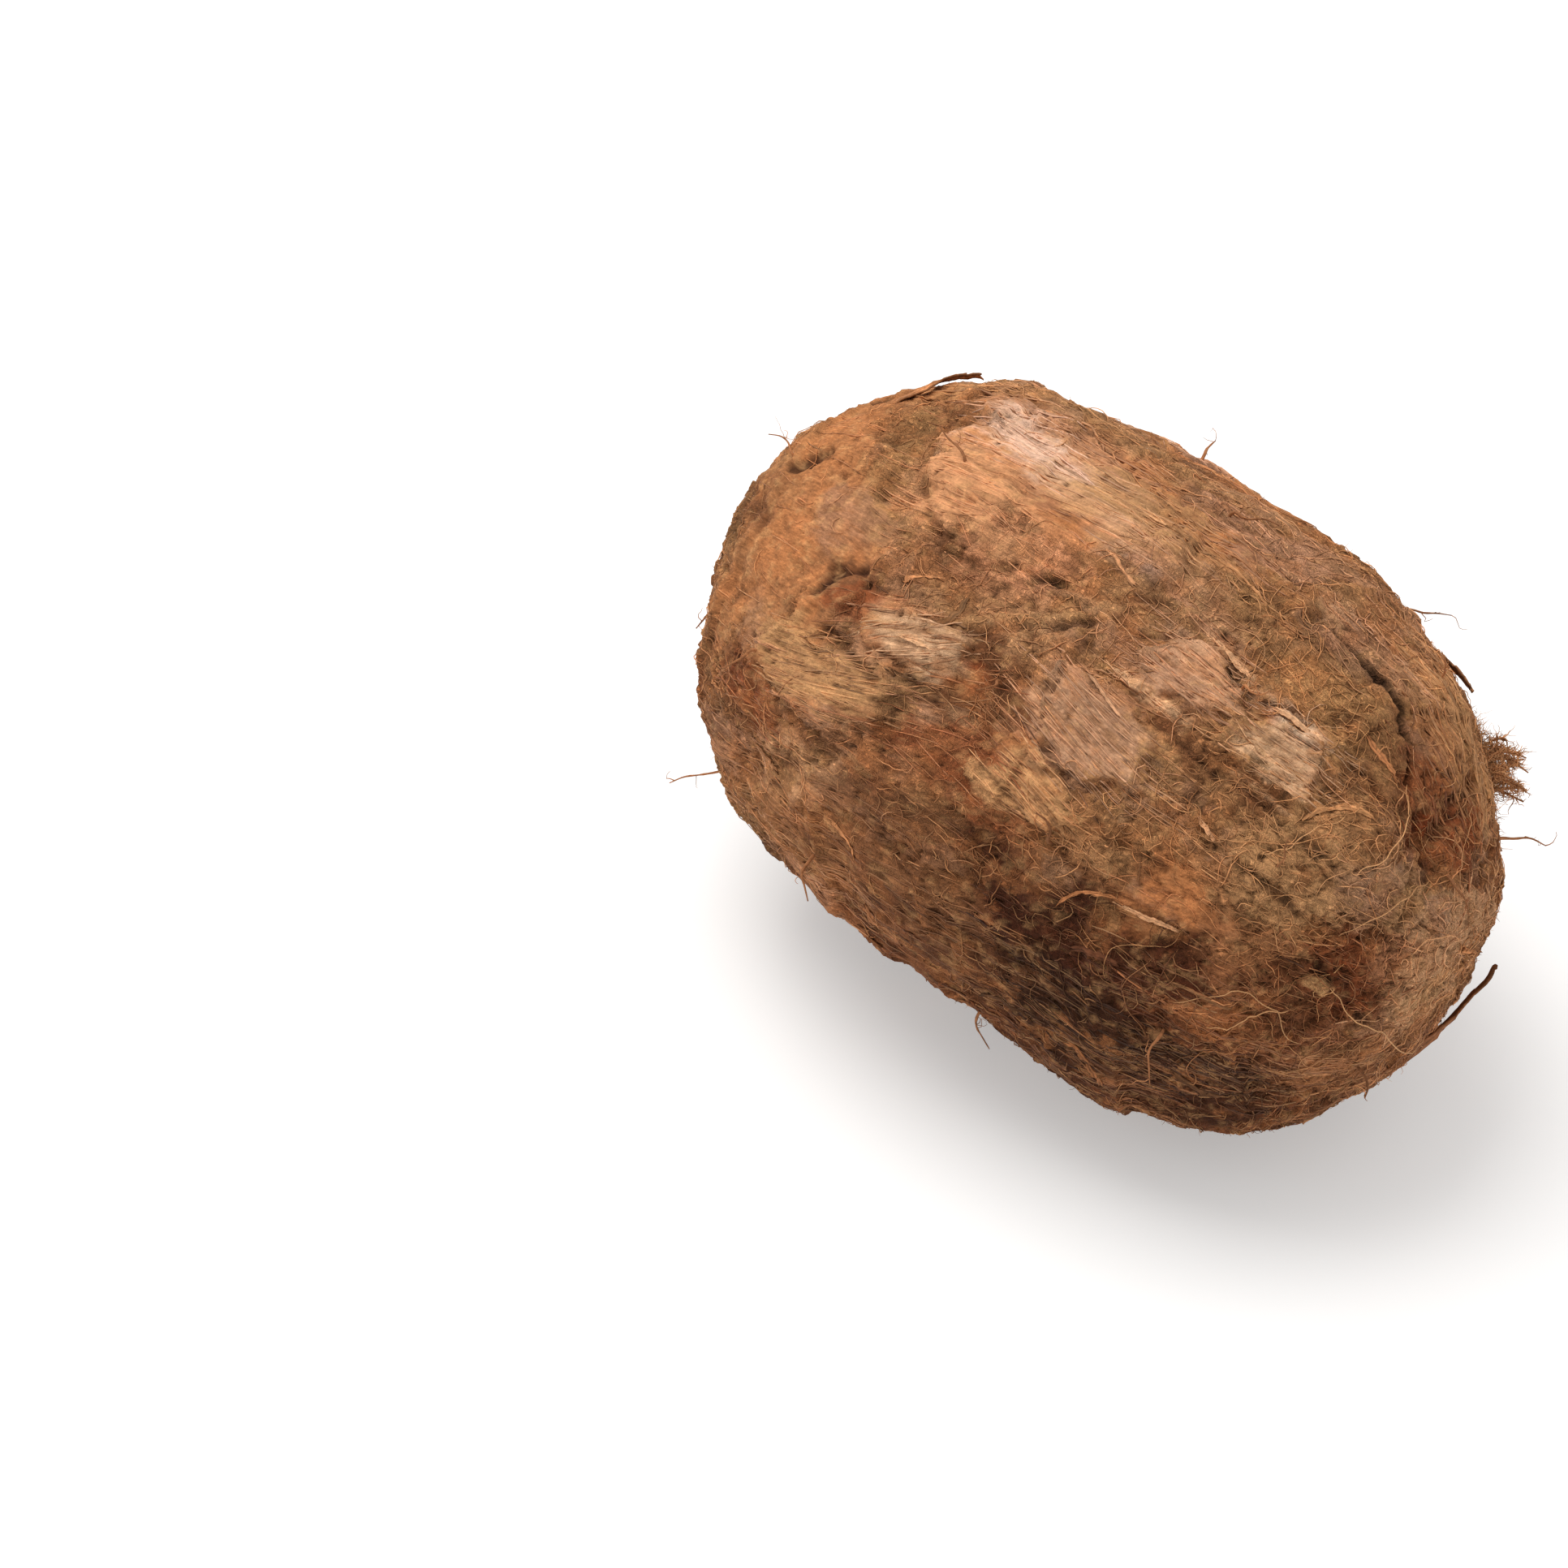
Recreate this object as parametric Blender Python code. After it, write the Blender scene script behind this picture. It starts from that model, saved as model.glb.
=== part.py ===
"""One whole yam tuber, lying on its side. Metres, +Z up.

+X runs along the tuber to its shaggy root end, and -X to the crown where the vine grew.
The origin is on the flat spot that the tuber rests on, below the middle of its long axis.
A place on the skin is two angles in degrees: s, from the root end (0) to the crown (180), and
psi, round the long axis from the top (0) over the -Y side (90) and the underside (180).
"""

import math
import random

import bmesh
import bpy
import numpy as np
from mathutils import Vector

NAME = "yam"

# The tuber without its lumps, and how high its long axis lies
HALF_LENGTH = 0.100
HALF_WIDTH = 0.066
HALF_HEIGHT = 0.062
AXIS_HEIGHT = 0.0631
FULLNESS = 2.3

# Where a lump or hollow is (s, psi), how far it spreads in degrees, and its height
LUMPS = (
    (126, 335, 22, 0.0075),  # shoulder near the crown
    (160, 30, 18, 0.0020),
    (50, 150, 24, 0.0060),  # belly at the root end
    (36, 272, 22, -0.0050),  # flat on the back of the root end
    (98, 325, 14, -0.0034),  # saddle behind the shoulder
    (95, 130, 16, -0.0030),
    (145, 90, 20, -0.0020),
    (122, 188, 26, 0.0032),  # heel, which keeps the tuber level on its belly
    (105, 36, 7, -0.0018),  # dimple with a dark crease
    (88, 255, 20, 0.0030),
    (140, 215, 12, -0.0030),
    (60, 225, 11, -0.0026),
)

# Small unevenness: waves that cross the tuber in different directions
WAVES = 9
WAVE_HEIGHT = 0.00032
WAVE_COUNTS = (7.0, 11.0, 16.0)  # radians from one side of the unit sphere to its middle

# Growth rings: the papery husk ends in a lip that faces the root end
RINGS = (24, 42, 62, 80, 98, 116, 136, 157)
LIP_HEIGHT = 0.0014
LIP_FRONT = 0.7  # degrees over which a lip drops
LIP_DECAY = 7.0  # degrees over which the husk sinks back behind its lip
RING_WANDER = 3.2  # degrees

# Ribs along the tuber, as (ribs round it, height, phase)
RIBS = ((13, 0.00040, 0.4), (21, 0.00034, 2.1), (34, 0.00022, 4.4))

# The crown: a corky knob in a shallow dish
CROWN_DISH = 0.0030
CROWN_DISH_SPREAD = 17
CROWN_KNOB = 0.0060
CROWN_KNOB_SPREAD = 6.5

# Creases in the skin, as (places (s, psi) along it, depth, spread in degrees)
CREASES = (
    (((120, 352), (117, 4), (112, 15), (107, 25), (110, 35), (116, 44)), 0.0026, 3.4),  # beside the crown
    (((93, 30), (90, 40), (87, 48), (84, 60)), 0.0024, 4.5),
    (((132, 350), (128, 330), (133, 312)), 0.0014, 2.8),
    (((68, 8), (62, 16), (54, 24), (40, 26)), 0.0013, 2.6),
    (((79, 32), (68, 32), (58, 35), (50, 35), (40, 35)), 0.0014, 2.4),
    (((31, 0), (25, 4), (19, 8), (13, 16)), 0.0024, 3.4),  # where the split runs out
    (((100, 262), (88, 250), (74, 246)), 0.0016, 3.2),
    (((128, 232), (122, 246), (112, 254)), 0.0016, 3.0),
    (((56, 196), (66, 204), (79, 206)), 0.0014, 3.0),
    (((120, 100), (108, 106), (96, 104)), 0.0014, 3.0),
)

# Thick sheets of husk, as (s, psi, half length, half width, turn, height), with angles in degrees
SHEETS = (
    (96, 3, 17, 14, -10, 0.0016),
    (71, 43, 10, 9, 5, 0.0018),
    (65, 22, 8, 7, 5, 0.0015),
    (48, 25, 8, 6, 8, 0.0014),
    (77, 58, 8, 7, -10, 0.0013),
    (100, 46, 7, 6, 10, 0.0015),
    (106, 61, 11, 8, 15, 0.0014),
    (52, 92, 12, 11, 0, 0.0012),
    (101, 302, 16, 12, 10, 0.0013),
    (68, 268, 14, 13, -20, 0.0014),
    (122, 265, 12, 12, 15, 0.0012),
    (76, 228, 12, 10, 10, 0.0012),
    (128, 130, 13, 11, -15, 0.0012),
    (44, 225, 10, 16, 0, 0.0012),
)
SHEET_EDGE = 0.22  # share of a sheet over which it rises

COLUMNS = 84
ROW_SPACING = 4.6  # degrees between rows of faces

# The split in the husk, as (s, psi) of its middle line
SPLIT = ((57, 351), (50, 351), (43, 352), (37, 356), (31, 361))
SPLIT_HALF_WIDTH = 0.0012

# Rootlets
ROOT_SEED = 11
STRAY_ROOTS = 34
STRAY_LENGTH = (0.007, 0.014)
ROOT_RADIUS = 0.00060
TIP_RADIUS = 0.00034
ROOT_SUNK = 0.0030
LEAST_ROOT_HEIGHT = 0.020
TUFT = (42, 290)
TUFT_ROOTS = 16
TUFT_SPREAD = 5.0  # degrees
TUFT_LENGTH = (0.006, 0.010)

# Strips of husk that have come away, as (start (s, psi), end (s, psi), width, how far the end stands off)
STRIPS = (
    ((27, 160), (17, 228), 0.0050, 0.0045),
    ((130, 2), (124, -28), 0.0045, 0.0022),
    ((60, 302), (50, 306), 0.0045, 0.0020),
    ((112, 282), (97, 275), 0.0060, 0.0036),
    ((78, 215), (92, 206), 0.0055, 0.0032),
)
STRIP_THICKNESS = 0.0010

SKIN_COLOUR = (0.31, 0.17, 0.085, 1.0)
SKIN_ROUGHNESS = 0.88


def direction(s, psi):
    """Unit vectors for angles in radians."""
    return np.stack([np.cos(s), -np.sin(s) * np.sin(psi), np.sin(s) * np.cos(psi)], -1)


def bump(dirs, s_deg, psi_deg, spread_deg):
    """1 at a place on the skin, falling to 0 round it."""
    middle = direction(np.radians(s_deg), np.radians(psi_deg))
    away = np.degrees(np.arccos(np.clip(dirs @ middle, -1.0, 1.0)))
    return np.exp(-0.5 * (away / spread_deg) ** 2)


def ring_wander(s, psi):
    """Radians by which the rings stray from true circles. It fades out at both ends."""
    waves = np.sin(2 * psi + 1.7 * s) + 0.7 * np.sin(3 * psi - 2.3 * s + 1.0)
    waves += 0.45 * np.sin(7 * psi + 2.9 * s)
    return np.radians(RING_WANDER) * waves * np.sin(s) ** 1.5


def lips(s, psi):
    """Height of the husk's lips, each of which comes and goes round its ring."""
    height = np.zeros(np.broadcast(s, psi).shape)
    for number, ring in enumerate(RINGS):
        behind = np.degrees(s) - ring
        waves = np.sin((2 + number % 3) * psi + 2.1 * number) + 0.6 * np.sin(5 * psi + 1.3 * number)
        strength = np.clip(0.5 + 0.5 * waves, 0.0, 1.0)
        rise = np.clip(behind / LIP_FRONT + 1.0, 0.0, 1.0)
        height += LIP_HEIGHT * strength * rise * np.exp(-np.maximum(behind, 0.0) / LIP_DECAY)
    return height


def unevenness(dirs):
    """Height of the small unevenness, from straight waves through the unit sphere of directions."""
    height = np.zeros(dirs.shape[:-1])
    for k in range(WAVES):
        way = direction(math.acos(1.0 - 2.0 * (k + 0.5) / WAVES), 2.4 * k)
        height += WAVE_HEIGHT * np.sin(WAVE_COUNTS[k % len(WAVE_COUNTS)] * (dirs @ way) + 1.9 * k)
    return height


def crease(dirs, places, spread_deg):
    """1 along a line on the skin, falling to 0 beside it."""
    depth = np.zeros(dirs.shape[:-1])
    for start, end in zip(places, places[1:]):
        for share in (0.0, 0.25, 0.5, 0.75, 1.0):
            spot = (a + (b - a) * share for a, b in zip(start, end))
            depth = np.maximum(depth, bump(dirs, *spot, spread_deg))
    return depth


def sheet(s, psi, s_deg, psi_deg, half_length, half_width, turn_deg):
    """1 on a sheet of husk with a ragged outline, and 0 off it."""
    along = np.degrees(s) - s_deg
    around = (np.degrees(psi) - psi_deg + 180.0) % 360.0 - 180.0
    around = around * math.sin(math.radians(s_deg))
    turn = math.radians(turn_deg)
    one = (along * math.cos(turn) + around * math.sin(turn)) / half_length
    other = (around * math.cos(turn) - along * math.sin(turn)) / half_width
    angle = np.arctan2(other, one)
    ragged = 1.0 + 0.13 * np.sin(3 * angle + s_deg) + 0.08 * np.sin(7 * angle + psi_deg)
    reach = (np.abs(one) ** 3 + np.abs(other) ** 3) ** (1 / 3) * ragged
    rise = np.clip((1.0 - reach) / SHEET_EDGE, 0.0, 1.0)
    return rise * rise * (3.0 - 2.0 * rise)


def ribs(s, psi):
    """Height of the ribs that run from end to end."""
    height = np.zeros(np.broadcast(s, psi).shape)
    for count, size, phase in RIBS:
        height += size * np.sin(count * psi + phase + 1.6 * np.sin(2.2 * s + phase))
    return height * np.sin(s)


def skin(s, psi):
    """Points of the skin, as an array of (x, y, z), for angles in radians."""
    turned = s + ring_wander(s, psi)
    dirs = direction(turned, psi)
    power = 2.0 / FULLNESS
    along = np.sign(np.cos(turned)) * np.abs(np.cos(turned)) ** power
    around = np.abs(np.sin(turned)) ** power
    point = np.stack(
        [HALF_LENGTH * along, -HALF_WIDTH * around * np.sin(psi), HALF_HEIGHT * around * np.cos(psi)], -1
    )
    outward = point / np.array([HALF_LENGTH, HALF_WIDTH, HALF_HEIGHT]) ** 2
    outward /= np.linalg.norm(outward, axis=-1, keepdims=True)
    height = sum(size * bump(dirs, at, round_at, spread) for at, round_at, spread, size in LUMPS)
    height = height + lips(s, psi) + ribs(s, psi) + unevenness(dirs)
    for *outline, size in SHEETS:
        height = height + size * sheet(s, psi, *outline)
    for places, depth, spread in CREASES:
        height = height - depth * crease(dirs, places, spread)
    height = height - CROWN_DISH * bump(dirs, 180, 0, CROWN_DISH_SPREAD)
    height = height + CROWN_KNOB * bump(dirs, 180, 0, CROWN_KNOB_SPREAD)
    point = point + outward * height[..., None]
    point[..., 2] = np.maximum(point[..., 2] + AXIS_HEIGHT, 0.0)
    return point


def place(s_deg, psi_deg):
    """(point of the skin, direction straight out of it, direction along it to the root end)."""
    step = np.radians(1.5)
    s, psi = np.radians(s_deg), np.radians(psi_deg)
    at = np.array([s, s - step, s + step, s, s])
    round_at = np.array([psi, psi, psi, psi - step, psi + step])
    middle, near, far, one, other = (Vector(p) for p in skin(at, round_at))
    along = (near - far).normalized()
    out = (other - one).cross(along).normalized()
    if out.dot(middle - Vector((0, 0, AXIS_HEIGHT))) < 0:
        out.negate()
    return middle, out, along


def row_angles():
    """Angles s of the rows of faces in degrees, with a close pair at each lip."""
    edges = [0.0]
    for ring in RINGS:
        edges += [ring - LIP_FRONT, ring]
    edges.append(180.0)
    rows = [0.0]
    for start, end in zip(edges, edges[1:]):
        count = max(1, round((end - start) / ROW_SPACING))
        rows += [start + (end - start) * (k + 1) / count for k in range(count)]
    return rows


def tuber(material):
    """The tuber: a sphere of rows and columns, each point of which is moved to its place on the skin."""
    rows = row_angles()
    bm = bmesh.new()
    bmesh.ops.create_uvsphere(bm, u_segments=COLUMNS, v_segments=len(rows) - 1, radius=1.0)
    row = [round(math.acos(max(-1.0, min(1.0, v.co.z))) / math.pi * (len(rows) - 1)) for v in bm.verts]
    s = np.radians([rows[k] for k in row])
    psi = np.array([math.atan2(v.co.y, v.co.x) for v in bm.verts])
    for vert, point in zip(bm.verts, skin(s, psi)):
        vert.co = point
    bmesh.ops.recalc_face_normals(bm, faces=bm.faces)
    bmesh.ops.triangulate(bm, faces=bm.faces)
    mesh = bpy.data.meshes.new(NAME)
    bm.to_mesh(mesh)
    bm.free()
    mesh.materials.append(material)
    obj = bpy.data.objects.new(NAME, mesh)
    return obj


def tube(name, points, radii, collection, flat=1.0, across=None):
    """A closed tapering tube through points. flat squeezes its section against the direction across."""
    data = bpy.data.curves.new(name, "CURVE")
    data.dimensions = "3D"
    data.bevel_depth = 1.0
    data.bevel_resolution = 0
    data.use_fill_caps = True
    spline = data.splines.new("POLY")
    spline.points.add(len(points) - 1)
    for spot, point, radius in zip(spline.points, points, radii):
        spot.co = (*point, 1.0)
        spot.radius = radius
    guide = bpy.data.objects.new(name, data)
    bpy.context.scene.collection.objects.link(guide)
    graph = bpy.context.evaluated_depsgraph_get()
    mesh = bpy.data.meshes.new_from_object(guide.evaluated_get(graph))
    bpy.data.objects.remove(guide)
    bm = bmesh.new()
    bm.from_mesh(mesh)
    bmesh.ops.remove_doubles(bm, verts=bm.verts, dist=1e-6)
    if across is not None:
        for vert in bm.verts:
            nearest = min(range(len(points)), key=lambda k: (vert.co - points[k]).length)
            off = (vert.co - points[nearest]).dot(across[nearest])
            vert.co -= across[nearest] * off * (1.0 - flat)
    bmesh.ops.recalc_face_normals(bm, faces=bm.faces)
    bmesh.ops.triangulate(bm, faces=bm.faces)
    bm.to_mesh(mesh)
    bm.free()
    obj = bpy.data.objects.new(name, mesh)
    collection.objects.link(obj)
    return obj


def rootlet(name, s_deg, psi_deg, length, lean, rng, collection):
    """A rootlet that leaves the skin leaning towards lean, then curls and droops."""
    base, out, _ = place(s_deg, psi_deg)
    heading = (out + lean * 0.8).normalized()
    points = [base - out * ROOT_SUNK, base + heading * length * 0.12]
    step = length * 0.88 / 3
    for _ in range(3):
        curl = Vector((rng.uniform(-1, 1), rng.uniform(-1, 1), rng.uniform(-1.0, 0.4)))
        heading = (heading + curl * 0.55).normalized()
        if heading.dot(out) < 0.25:
            heading = (heading + out * 0.6).normalized()
        points.append(points[-1] + heading * step)
    radii = [ROOT_RADIUS + (TIP_RADIUS - ROOT_RADIUS) * k / 4 for k in range(5)]
    return tube(name, points, radii, collection)


def sideways(out, rng):
    """A random unit vector along the skin."""
    wild = Vector((rng.uniform(-1, 1), rng.uniform(-1, 1), rng.uniform(-1, 1)))
    return (wild - out * wild.dot(out)).normalized()


def stray_roots(collection):
    """Rootlets spread evenly over the tuber by golden-angle steps, clear of what it rests on."""
    rng = random.Random(ROOT_SEED)
    golden = math.degrees(math.pi * (3.0 - math.sqrt(5.0)))
    for k in range(STRAY_ROOTS):
        s_deg = math.degrees(math.acos(1.0 - 2.0 * (k + 0.5) / STRAY_ROOTS))
        psi_deg = k * golden + rng.uniform(-8, 8)
        base, out, _ = place(s_deg, psi_deg)
        length = rng.uniform(*STRAY_LENGTH)
        if base.z < LEAST_ROOT_HEIGHT or is_on_strip(s_deg, psi_deg):
            continue
        rootlet(f"rootlet_{k}", s_deg, psi_deg, length, sideways(out, rng), rng, collection)


def is_on_strip(s_deg, psi_deg):
    """True near a strip or the tuft, where no stray rootlet grows."""
    here = place(s_deg, psi_deg)[0]
    taken = [place(*end)[0] for start, finish, _, _ in STRIPS for end in (start, finish)]
    taken.append(place(*TUFT)[0])
    return any((here - spot).length < 0.012 for spot in taken)


def root_tuft(collection):
    """The tuft of rootlets at the back of the root end."""
    rng = random.Random(ROOT_SEED + 1)
    for k in range(TUFT_ROOTS):
        turn, reach = k * 2.4, TUFT_SPREAD * math.sqrt((k + 0.5) / TUFT_ROOTS)
        s_deg = TUFT[0] + reach * math.cos(turn)
        psi_deg = TUFT[1] + reach * math.sin(turn) / math.sin(math.radians(TUFT[0]))
        _, out, _ = place(s_deg, psi_deg)
        lean = sideways(out, rng) * 0.5 + Vector((0, 0, 0.25))
        rootlet(f"tuft_{k}", s_deg, psi_deg, rng.uniform(*TUFT_LENGTH), lean, rng, collection)


def husk_strip(name, start, end, width, stand_off, collection):
    """A strip of dry husk that lies along the skin, sunk in at its start and lifted at its end."""
    count = 7
    points, across = [], []
    for k in range(count):
        share = k / (count - 1)
        here, out, _ = place(*(a + (b - a) * share for a, b in zip(start, end)))
        lift = stand_off * share**1.3 - 0.0016 * (1.0 - share) ** 2
        points.append(here + out * lift)
        across.append(out)
    shares = [math.sin(math.pi * (0.15 + 0.8 * k / (count - 1))) for k in range(count)]
    radii = [width / 2 * (0.35 + 0.65 * share) for share in shares]
    return tube(name, points, radii, collection, flat=STRIP_THICKNESS / width, across=across)


def split_cutter(collection):
    """What is cut out of the husk where it has split, as a slim spindle along the skin."""
    points = [place(*spot)[0] for spot in SPLIT]
    radii = [SPLIT_HALF_WIDTH * share for share in (0.3, 1.0, 1.1, 1.0, 0.3)]
    return tube("split", points, radii, collection)


def combine(obj, collection, operation):
    """Joins or cuts obj with everything in collection, then removes that collection."""
    modifier = obj.modifiers.new(operation.title(), "BOOLEAN")
    modifier.operation = operation
    modifier.operand_type = "COLLECTION"
    modifier.collection = collection
    modifier.solver = "EXACT"
    bpy.context.view_layer.objects.active = obj
    bpy.ops.object.modifier_apply(modifier=modifier.name)
    for other in list(collection.objects):
        bpy.data.objects.remove(other)
    bpy.data.collections.remove(collection)


def new_collection(name):
    collection = bpy.data.collections.new(name)
    bpy.context.scene.collection.children.link(collection)
    return collection


def skin_material():
    material = bpy.data.materials.new("yam_skin")
    material.use_nodes = True
    shader = material.node_tree.nodes["Principled BSDF"]
    shader.inputs["Base Color"].default_value = SKIN_COLOUR
    shader.inputs["Roughness"].default_value = SKIN_ROUGHNESS
    shader.inputs["Metallic"].default_value = 0.0
    return material


def main():
    for obj in list(bpy.data.objects):
        bpy.data.objects.remove(obj)
    parts = new_collection("yam_tuber")
    yam = tuber(skin_material())
    parts.objects.link(yam)
    cuts = new_collection("cuts")
    split_cutter(cuts)
    combine(yam, cuts, "DIFFERENCE")
    repeats = new_collection("repeats")
    stray_roots(repeats)
    root_tuft(repeats)
    for number, strip in enumerate(STRIPS):
        husk_strip(f"strip_{number}", *strip, repeats)
    combine(yam, repeats, "UNION")
    yam.data.shade_smooth()
    yam.data.set_sharp_from_angle(angle=math.radians(50))


main()
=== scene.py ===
import math
import random

import bpy
import numpy as np
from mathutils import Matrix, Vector


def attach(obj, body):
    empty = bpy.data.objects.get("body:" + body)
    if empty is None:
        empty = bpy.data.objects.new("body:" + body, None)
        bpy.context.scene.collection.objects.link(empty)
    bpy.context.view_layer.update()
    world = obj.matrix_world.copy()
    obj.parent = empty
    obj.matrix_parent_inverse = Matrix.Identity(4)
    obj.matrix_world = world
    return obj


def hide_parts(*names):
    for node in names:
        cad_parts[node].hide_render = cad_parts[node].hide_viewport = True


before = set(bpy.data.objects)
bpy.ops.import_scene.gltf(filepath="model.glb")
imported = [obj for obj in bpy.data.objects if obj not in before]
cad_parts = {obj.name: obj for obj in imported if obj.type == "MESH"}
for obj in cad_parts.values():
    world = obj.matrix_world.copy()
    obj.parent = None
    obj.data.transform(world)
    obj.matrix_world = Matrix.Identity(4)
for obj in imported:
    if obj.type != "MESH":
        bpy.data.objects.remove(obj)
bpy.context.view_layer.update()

# A whole yam: a fine skin, sheets and strips of husk, and thousands of fibres laid over it.
# Metres, +Z up. A place on the skin is two angles: s, from the root end (0) to the crown (180),
# and psi, round the long axis from the top (0) over the -Y side (90) and the underside (180).

# ---- The tuber's form, the same as the solid's

HALF_LENGTH = 0.100
HALF_WIDTH = 0.066
HALF_HEIGHT = 0.062
AXIS_HEIGHT = 0.0631
FULLNESS = 2.3
LUMPS = (
    (126, 335, 22, 0.0075),
    (160, 30, 18, 0.0020),
    (50, 150, 24, 0.0060),
    (36, 272, 22, -0.0050),
    (98, 325, 14, -0.0034),
    (95, 130, 16, -0.0030),
    (145, 90, 20, -0.0020),
    (122, 188, 26, 0.0032),
    (105, 36, 7, -0.0018),
    (88, 255, 20, 0.0030),
    (140, 215, 12, -0.0030),
    (60, 225, 11, -0.0026),
)
WAVES = 9
WAVE_HEIGHT = 0.00032
WAVE_COUNTS = (7.0, 11.0, 16.0)
RINGS = (24, 42, 62, 80, 98, 116, 136, 157)
LIP_HEIGHT = 0.0014
LIP_FRONT = 0.7
LIP_DECAY = 7.0
RING_WANDER = 3.2
RIBS = ((13, 0.00040, 0.4), (21, 0.00034, 2.1), (34, 0.00022, 4.4))
CROWN_DISH = 0.0030
CROWN_DISH_SPREAD = 17
CROWN_KNOB = 0.0060
CROWN_KNOB_SPREAD = 6.5
CREASES = (
    (((120, 352), (117, 4), (112, 15), (107, 25), (110, 35), (116, 44)), 0.0026, 3.4),
    (((93, 30), (90, 40), (87, 48), (84, 60)), 0.0024, 4.5),
    (((132, 350), (128, 330), (133, 312)), 0.0014, 2.8),
    (((68, 8), (62, 16), (54, 24), (40, 26)), 0.0013, 2.6),
    (((79, 32), (68, 32), (58, 35), (50, 35), (40, 35)), 0.0014, 2.4),
    (((31, 0), (25, 4), (19, 8), (13, 16)), 0.0024, 3.4),
    (((100, 262), (88, 250), (74, 246)), 0.0016, 3.2),
    (((128, 232), (122, 246), (112, 254)), 0.0016, 3.0),
    (((56, 196), (66, 204), (79, 206)), 0.0014, 3.0),
    (((120, 100), (108, 106), (96, 104)), 0.0014, 3.0),
)
SHEETS = (
    (96, 3, 17, 14, -10, 0.0016),
    (71, 43, 10, 9, 5, 0.0018),
    (65, 22, 8, 7, 5, 0.0015),
    (48, 25, 8, 6, 8, 0.0014),
    (77, 58, 8, 7, -10, 0.0013),
    (100, 46, 7, 6, 10, 0.0015),
    (106, 61, 11, 8, 15, 0.0014),
    (52, 92, 12, 11, 0, 0.0012),
    (101, 302, 16, 12, 10, 0.0013),
    (68, 268, 14, 13, -20, 0.0014),
    (122, 265, 12, 12, 15, 0.0012),
    (76, 228, 12, 10, 10, 0.0012),
    (128, 130, 13, 11, -15, 0.0012),
    (44, 225, 10, 16, 0, 0.0012),
)
SHEET_EDGE = 0.07
SPLIT = ((57, 351), (50, 351), (43, 352), (37, 356), (31, 361))
ROOT_SEED = 11
STRAY_ROOTS = 34
STRAY_LENGTH = (0.007, 0.014)
ROOT_RADIUS = 0.00060
TIP_RADIUS = 0.00034
ROOT_SUNK = 0.0030
LEAST_ROOT_HEIGHT = 0.020
TUFT = (42, 290)
TUFT_ROOTS = 16
TUFT_SPREAD = 5.0
TUFT_LENGTH = (0.006, 0.010)
STRIPS = (
    ((27, 160), (17, 228), 0.0050, 0.0045),
    ((130, 2), (124, -28), 0.0045, 0.0022),
    ((60, 302), (50, 306), 0.0045, 0.0020),
    ((112, 282), (97, 275), 0.0060, 0.0036),
    ((78, 215), (92, 206), 0.0055, 0.0032),
)


def direction(s, psi):
    return np.stack([np.cos(s), -np.sin(s) * np.sin(psi), np.sin(s) * np.cos(psi)], -1)


def bump(dirs, s_deg, psi_deg, spread_deg):
    middle = direction(np.radians(s_deg), np.radians(psi_deg))
    away = np.degrees(np.arccos(np.clip(dirs @ middle, -1.0, 1.0)))
    return np.exp(-0.5 * (away / spread_deg) ** 2)


def ring_wander(s, psi):
    waves = np.sin(2 * psi + 1.7 * s) + 0.7 * np.sin(3 * psi - 2.3 * s + 1.0)
    waves += 0.45 * np.sin(7 * psi + 2.9 * s)
    return np.radians(RING_WANDER) * waves * np.sin(s) ** 1.5


def lips(s, psi):
    height = np.zeros(np.broadcast(s, psi).shape)
    for number, ring in enumerate(RINGS):
        behind = np.degrees(s) - ring
        waves = np.sin((2 + number % 3) * psi + 2.1 * number) + 0.6 * np.sin(5 * psi + 1.3 * number)
        strength = np.clip(0.5 + 0.5 * waves, 0.0, 1.0)
        rise = np.clip(behind / LIP_FRONT + 1.0, 0.0, 1.0)
        height += LIP_HEIGHT * strength * rise * np.exp(-np.maximum(behind, 0.0) / LIP_DECAY)
    return height


def unevenness(dirs):
    height = np.zeros(dirs.shape[:-1])
    for k in range(WAVES):
        way = direction(math.acos(1.0 - 2.0 * (k + 0.5) / WAVES), 2.4 * k)
        height += WAVE_HEIGHT * np.sin(WAVE_COUNTS[k % len(WAVE_COUNTS)] * (dirs @ way) + 1.9 * k)
    return height


def crease(dirs, places, spread_deg):
    depth = np.zeros(dirs.shape[:-1])
    for start, end in zip(places, places[1:]):
        for share in (0.0, 0.25, 0.5, 0.75, 1.0):
            spot = (a + (b - a) * share for a, b in zip(start, end))
            depth = np.maximum(depth, bump(dirs, *spot, spread_deg))
    return depth


def sheet_reach(s, psi, s_deg, psi_deg, half_length, half_width, turn_deg):
    """0 at the middle of a sheet of husk and 1 at its ragged outline."""
    along = np.degrees(s) - s_deg
    around = (np.degrees(psi) - psi_deg + 180.0) % 360.0 - 180.0
    around = around * math.sin(math.radians(s_deg))
    turn = math.radians(turn_deg)
    one = (along * math.cos(turn) + around * math.sin(turn)) / half_length
    other = (around * math.cos(turn) - along * math.sin(turn)) / half_width
    angle = np.arctan2(other, one)
    ragged = 1.0 + 0.13 * np.sin(3 * angle + s_deg) + 0.08 * np.sin(7 * angle + psi_deg)
    return (np.abs(one) ** 3 + np.abs(other) ** 3) ** (1 / 3) * ragged


def ribs(s, psi):
    height = np.zeros(np.broadcast(s, psi).shape)
    for count, size, phase in RIBS:
        height += size * np.sin(count * psi + phase + 1.6 * np.sin(2.2 * s + phase))
    return height * np.sin(s)


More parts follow.
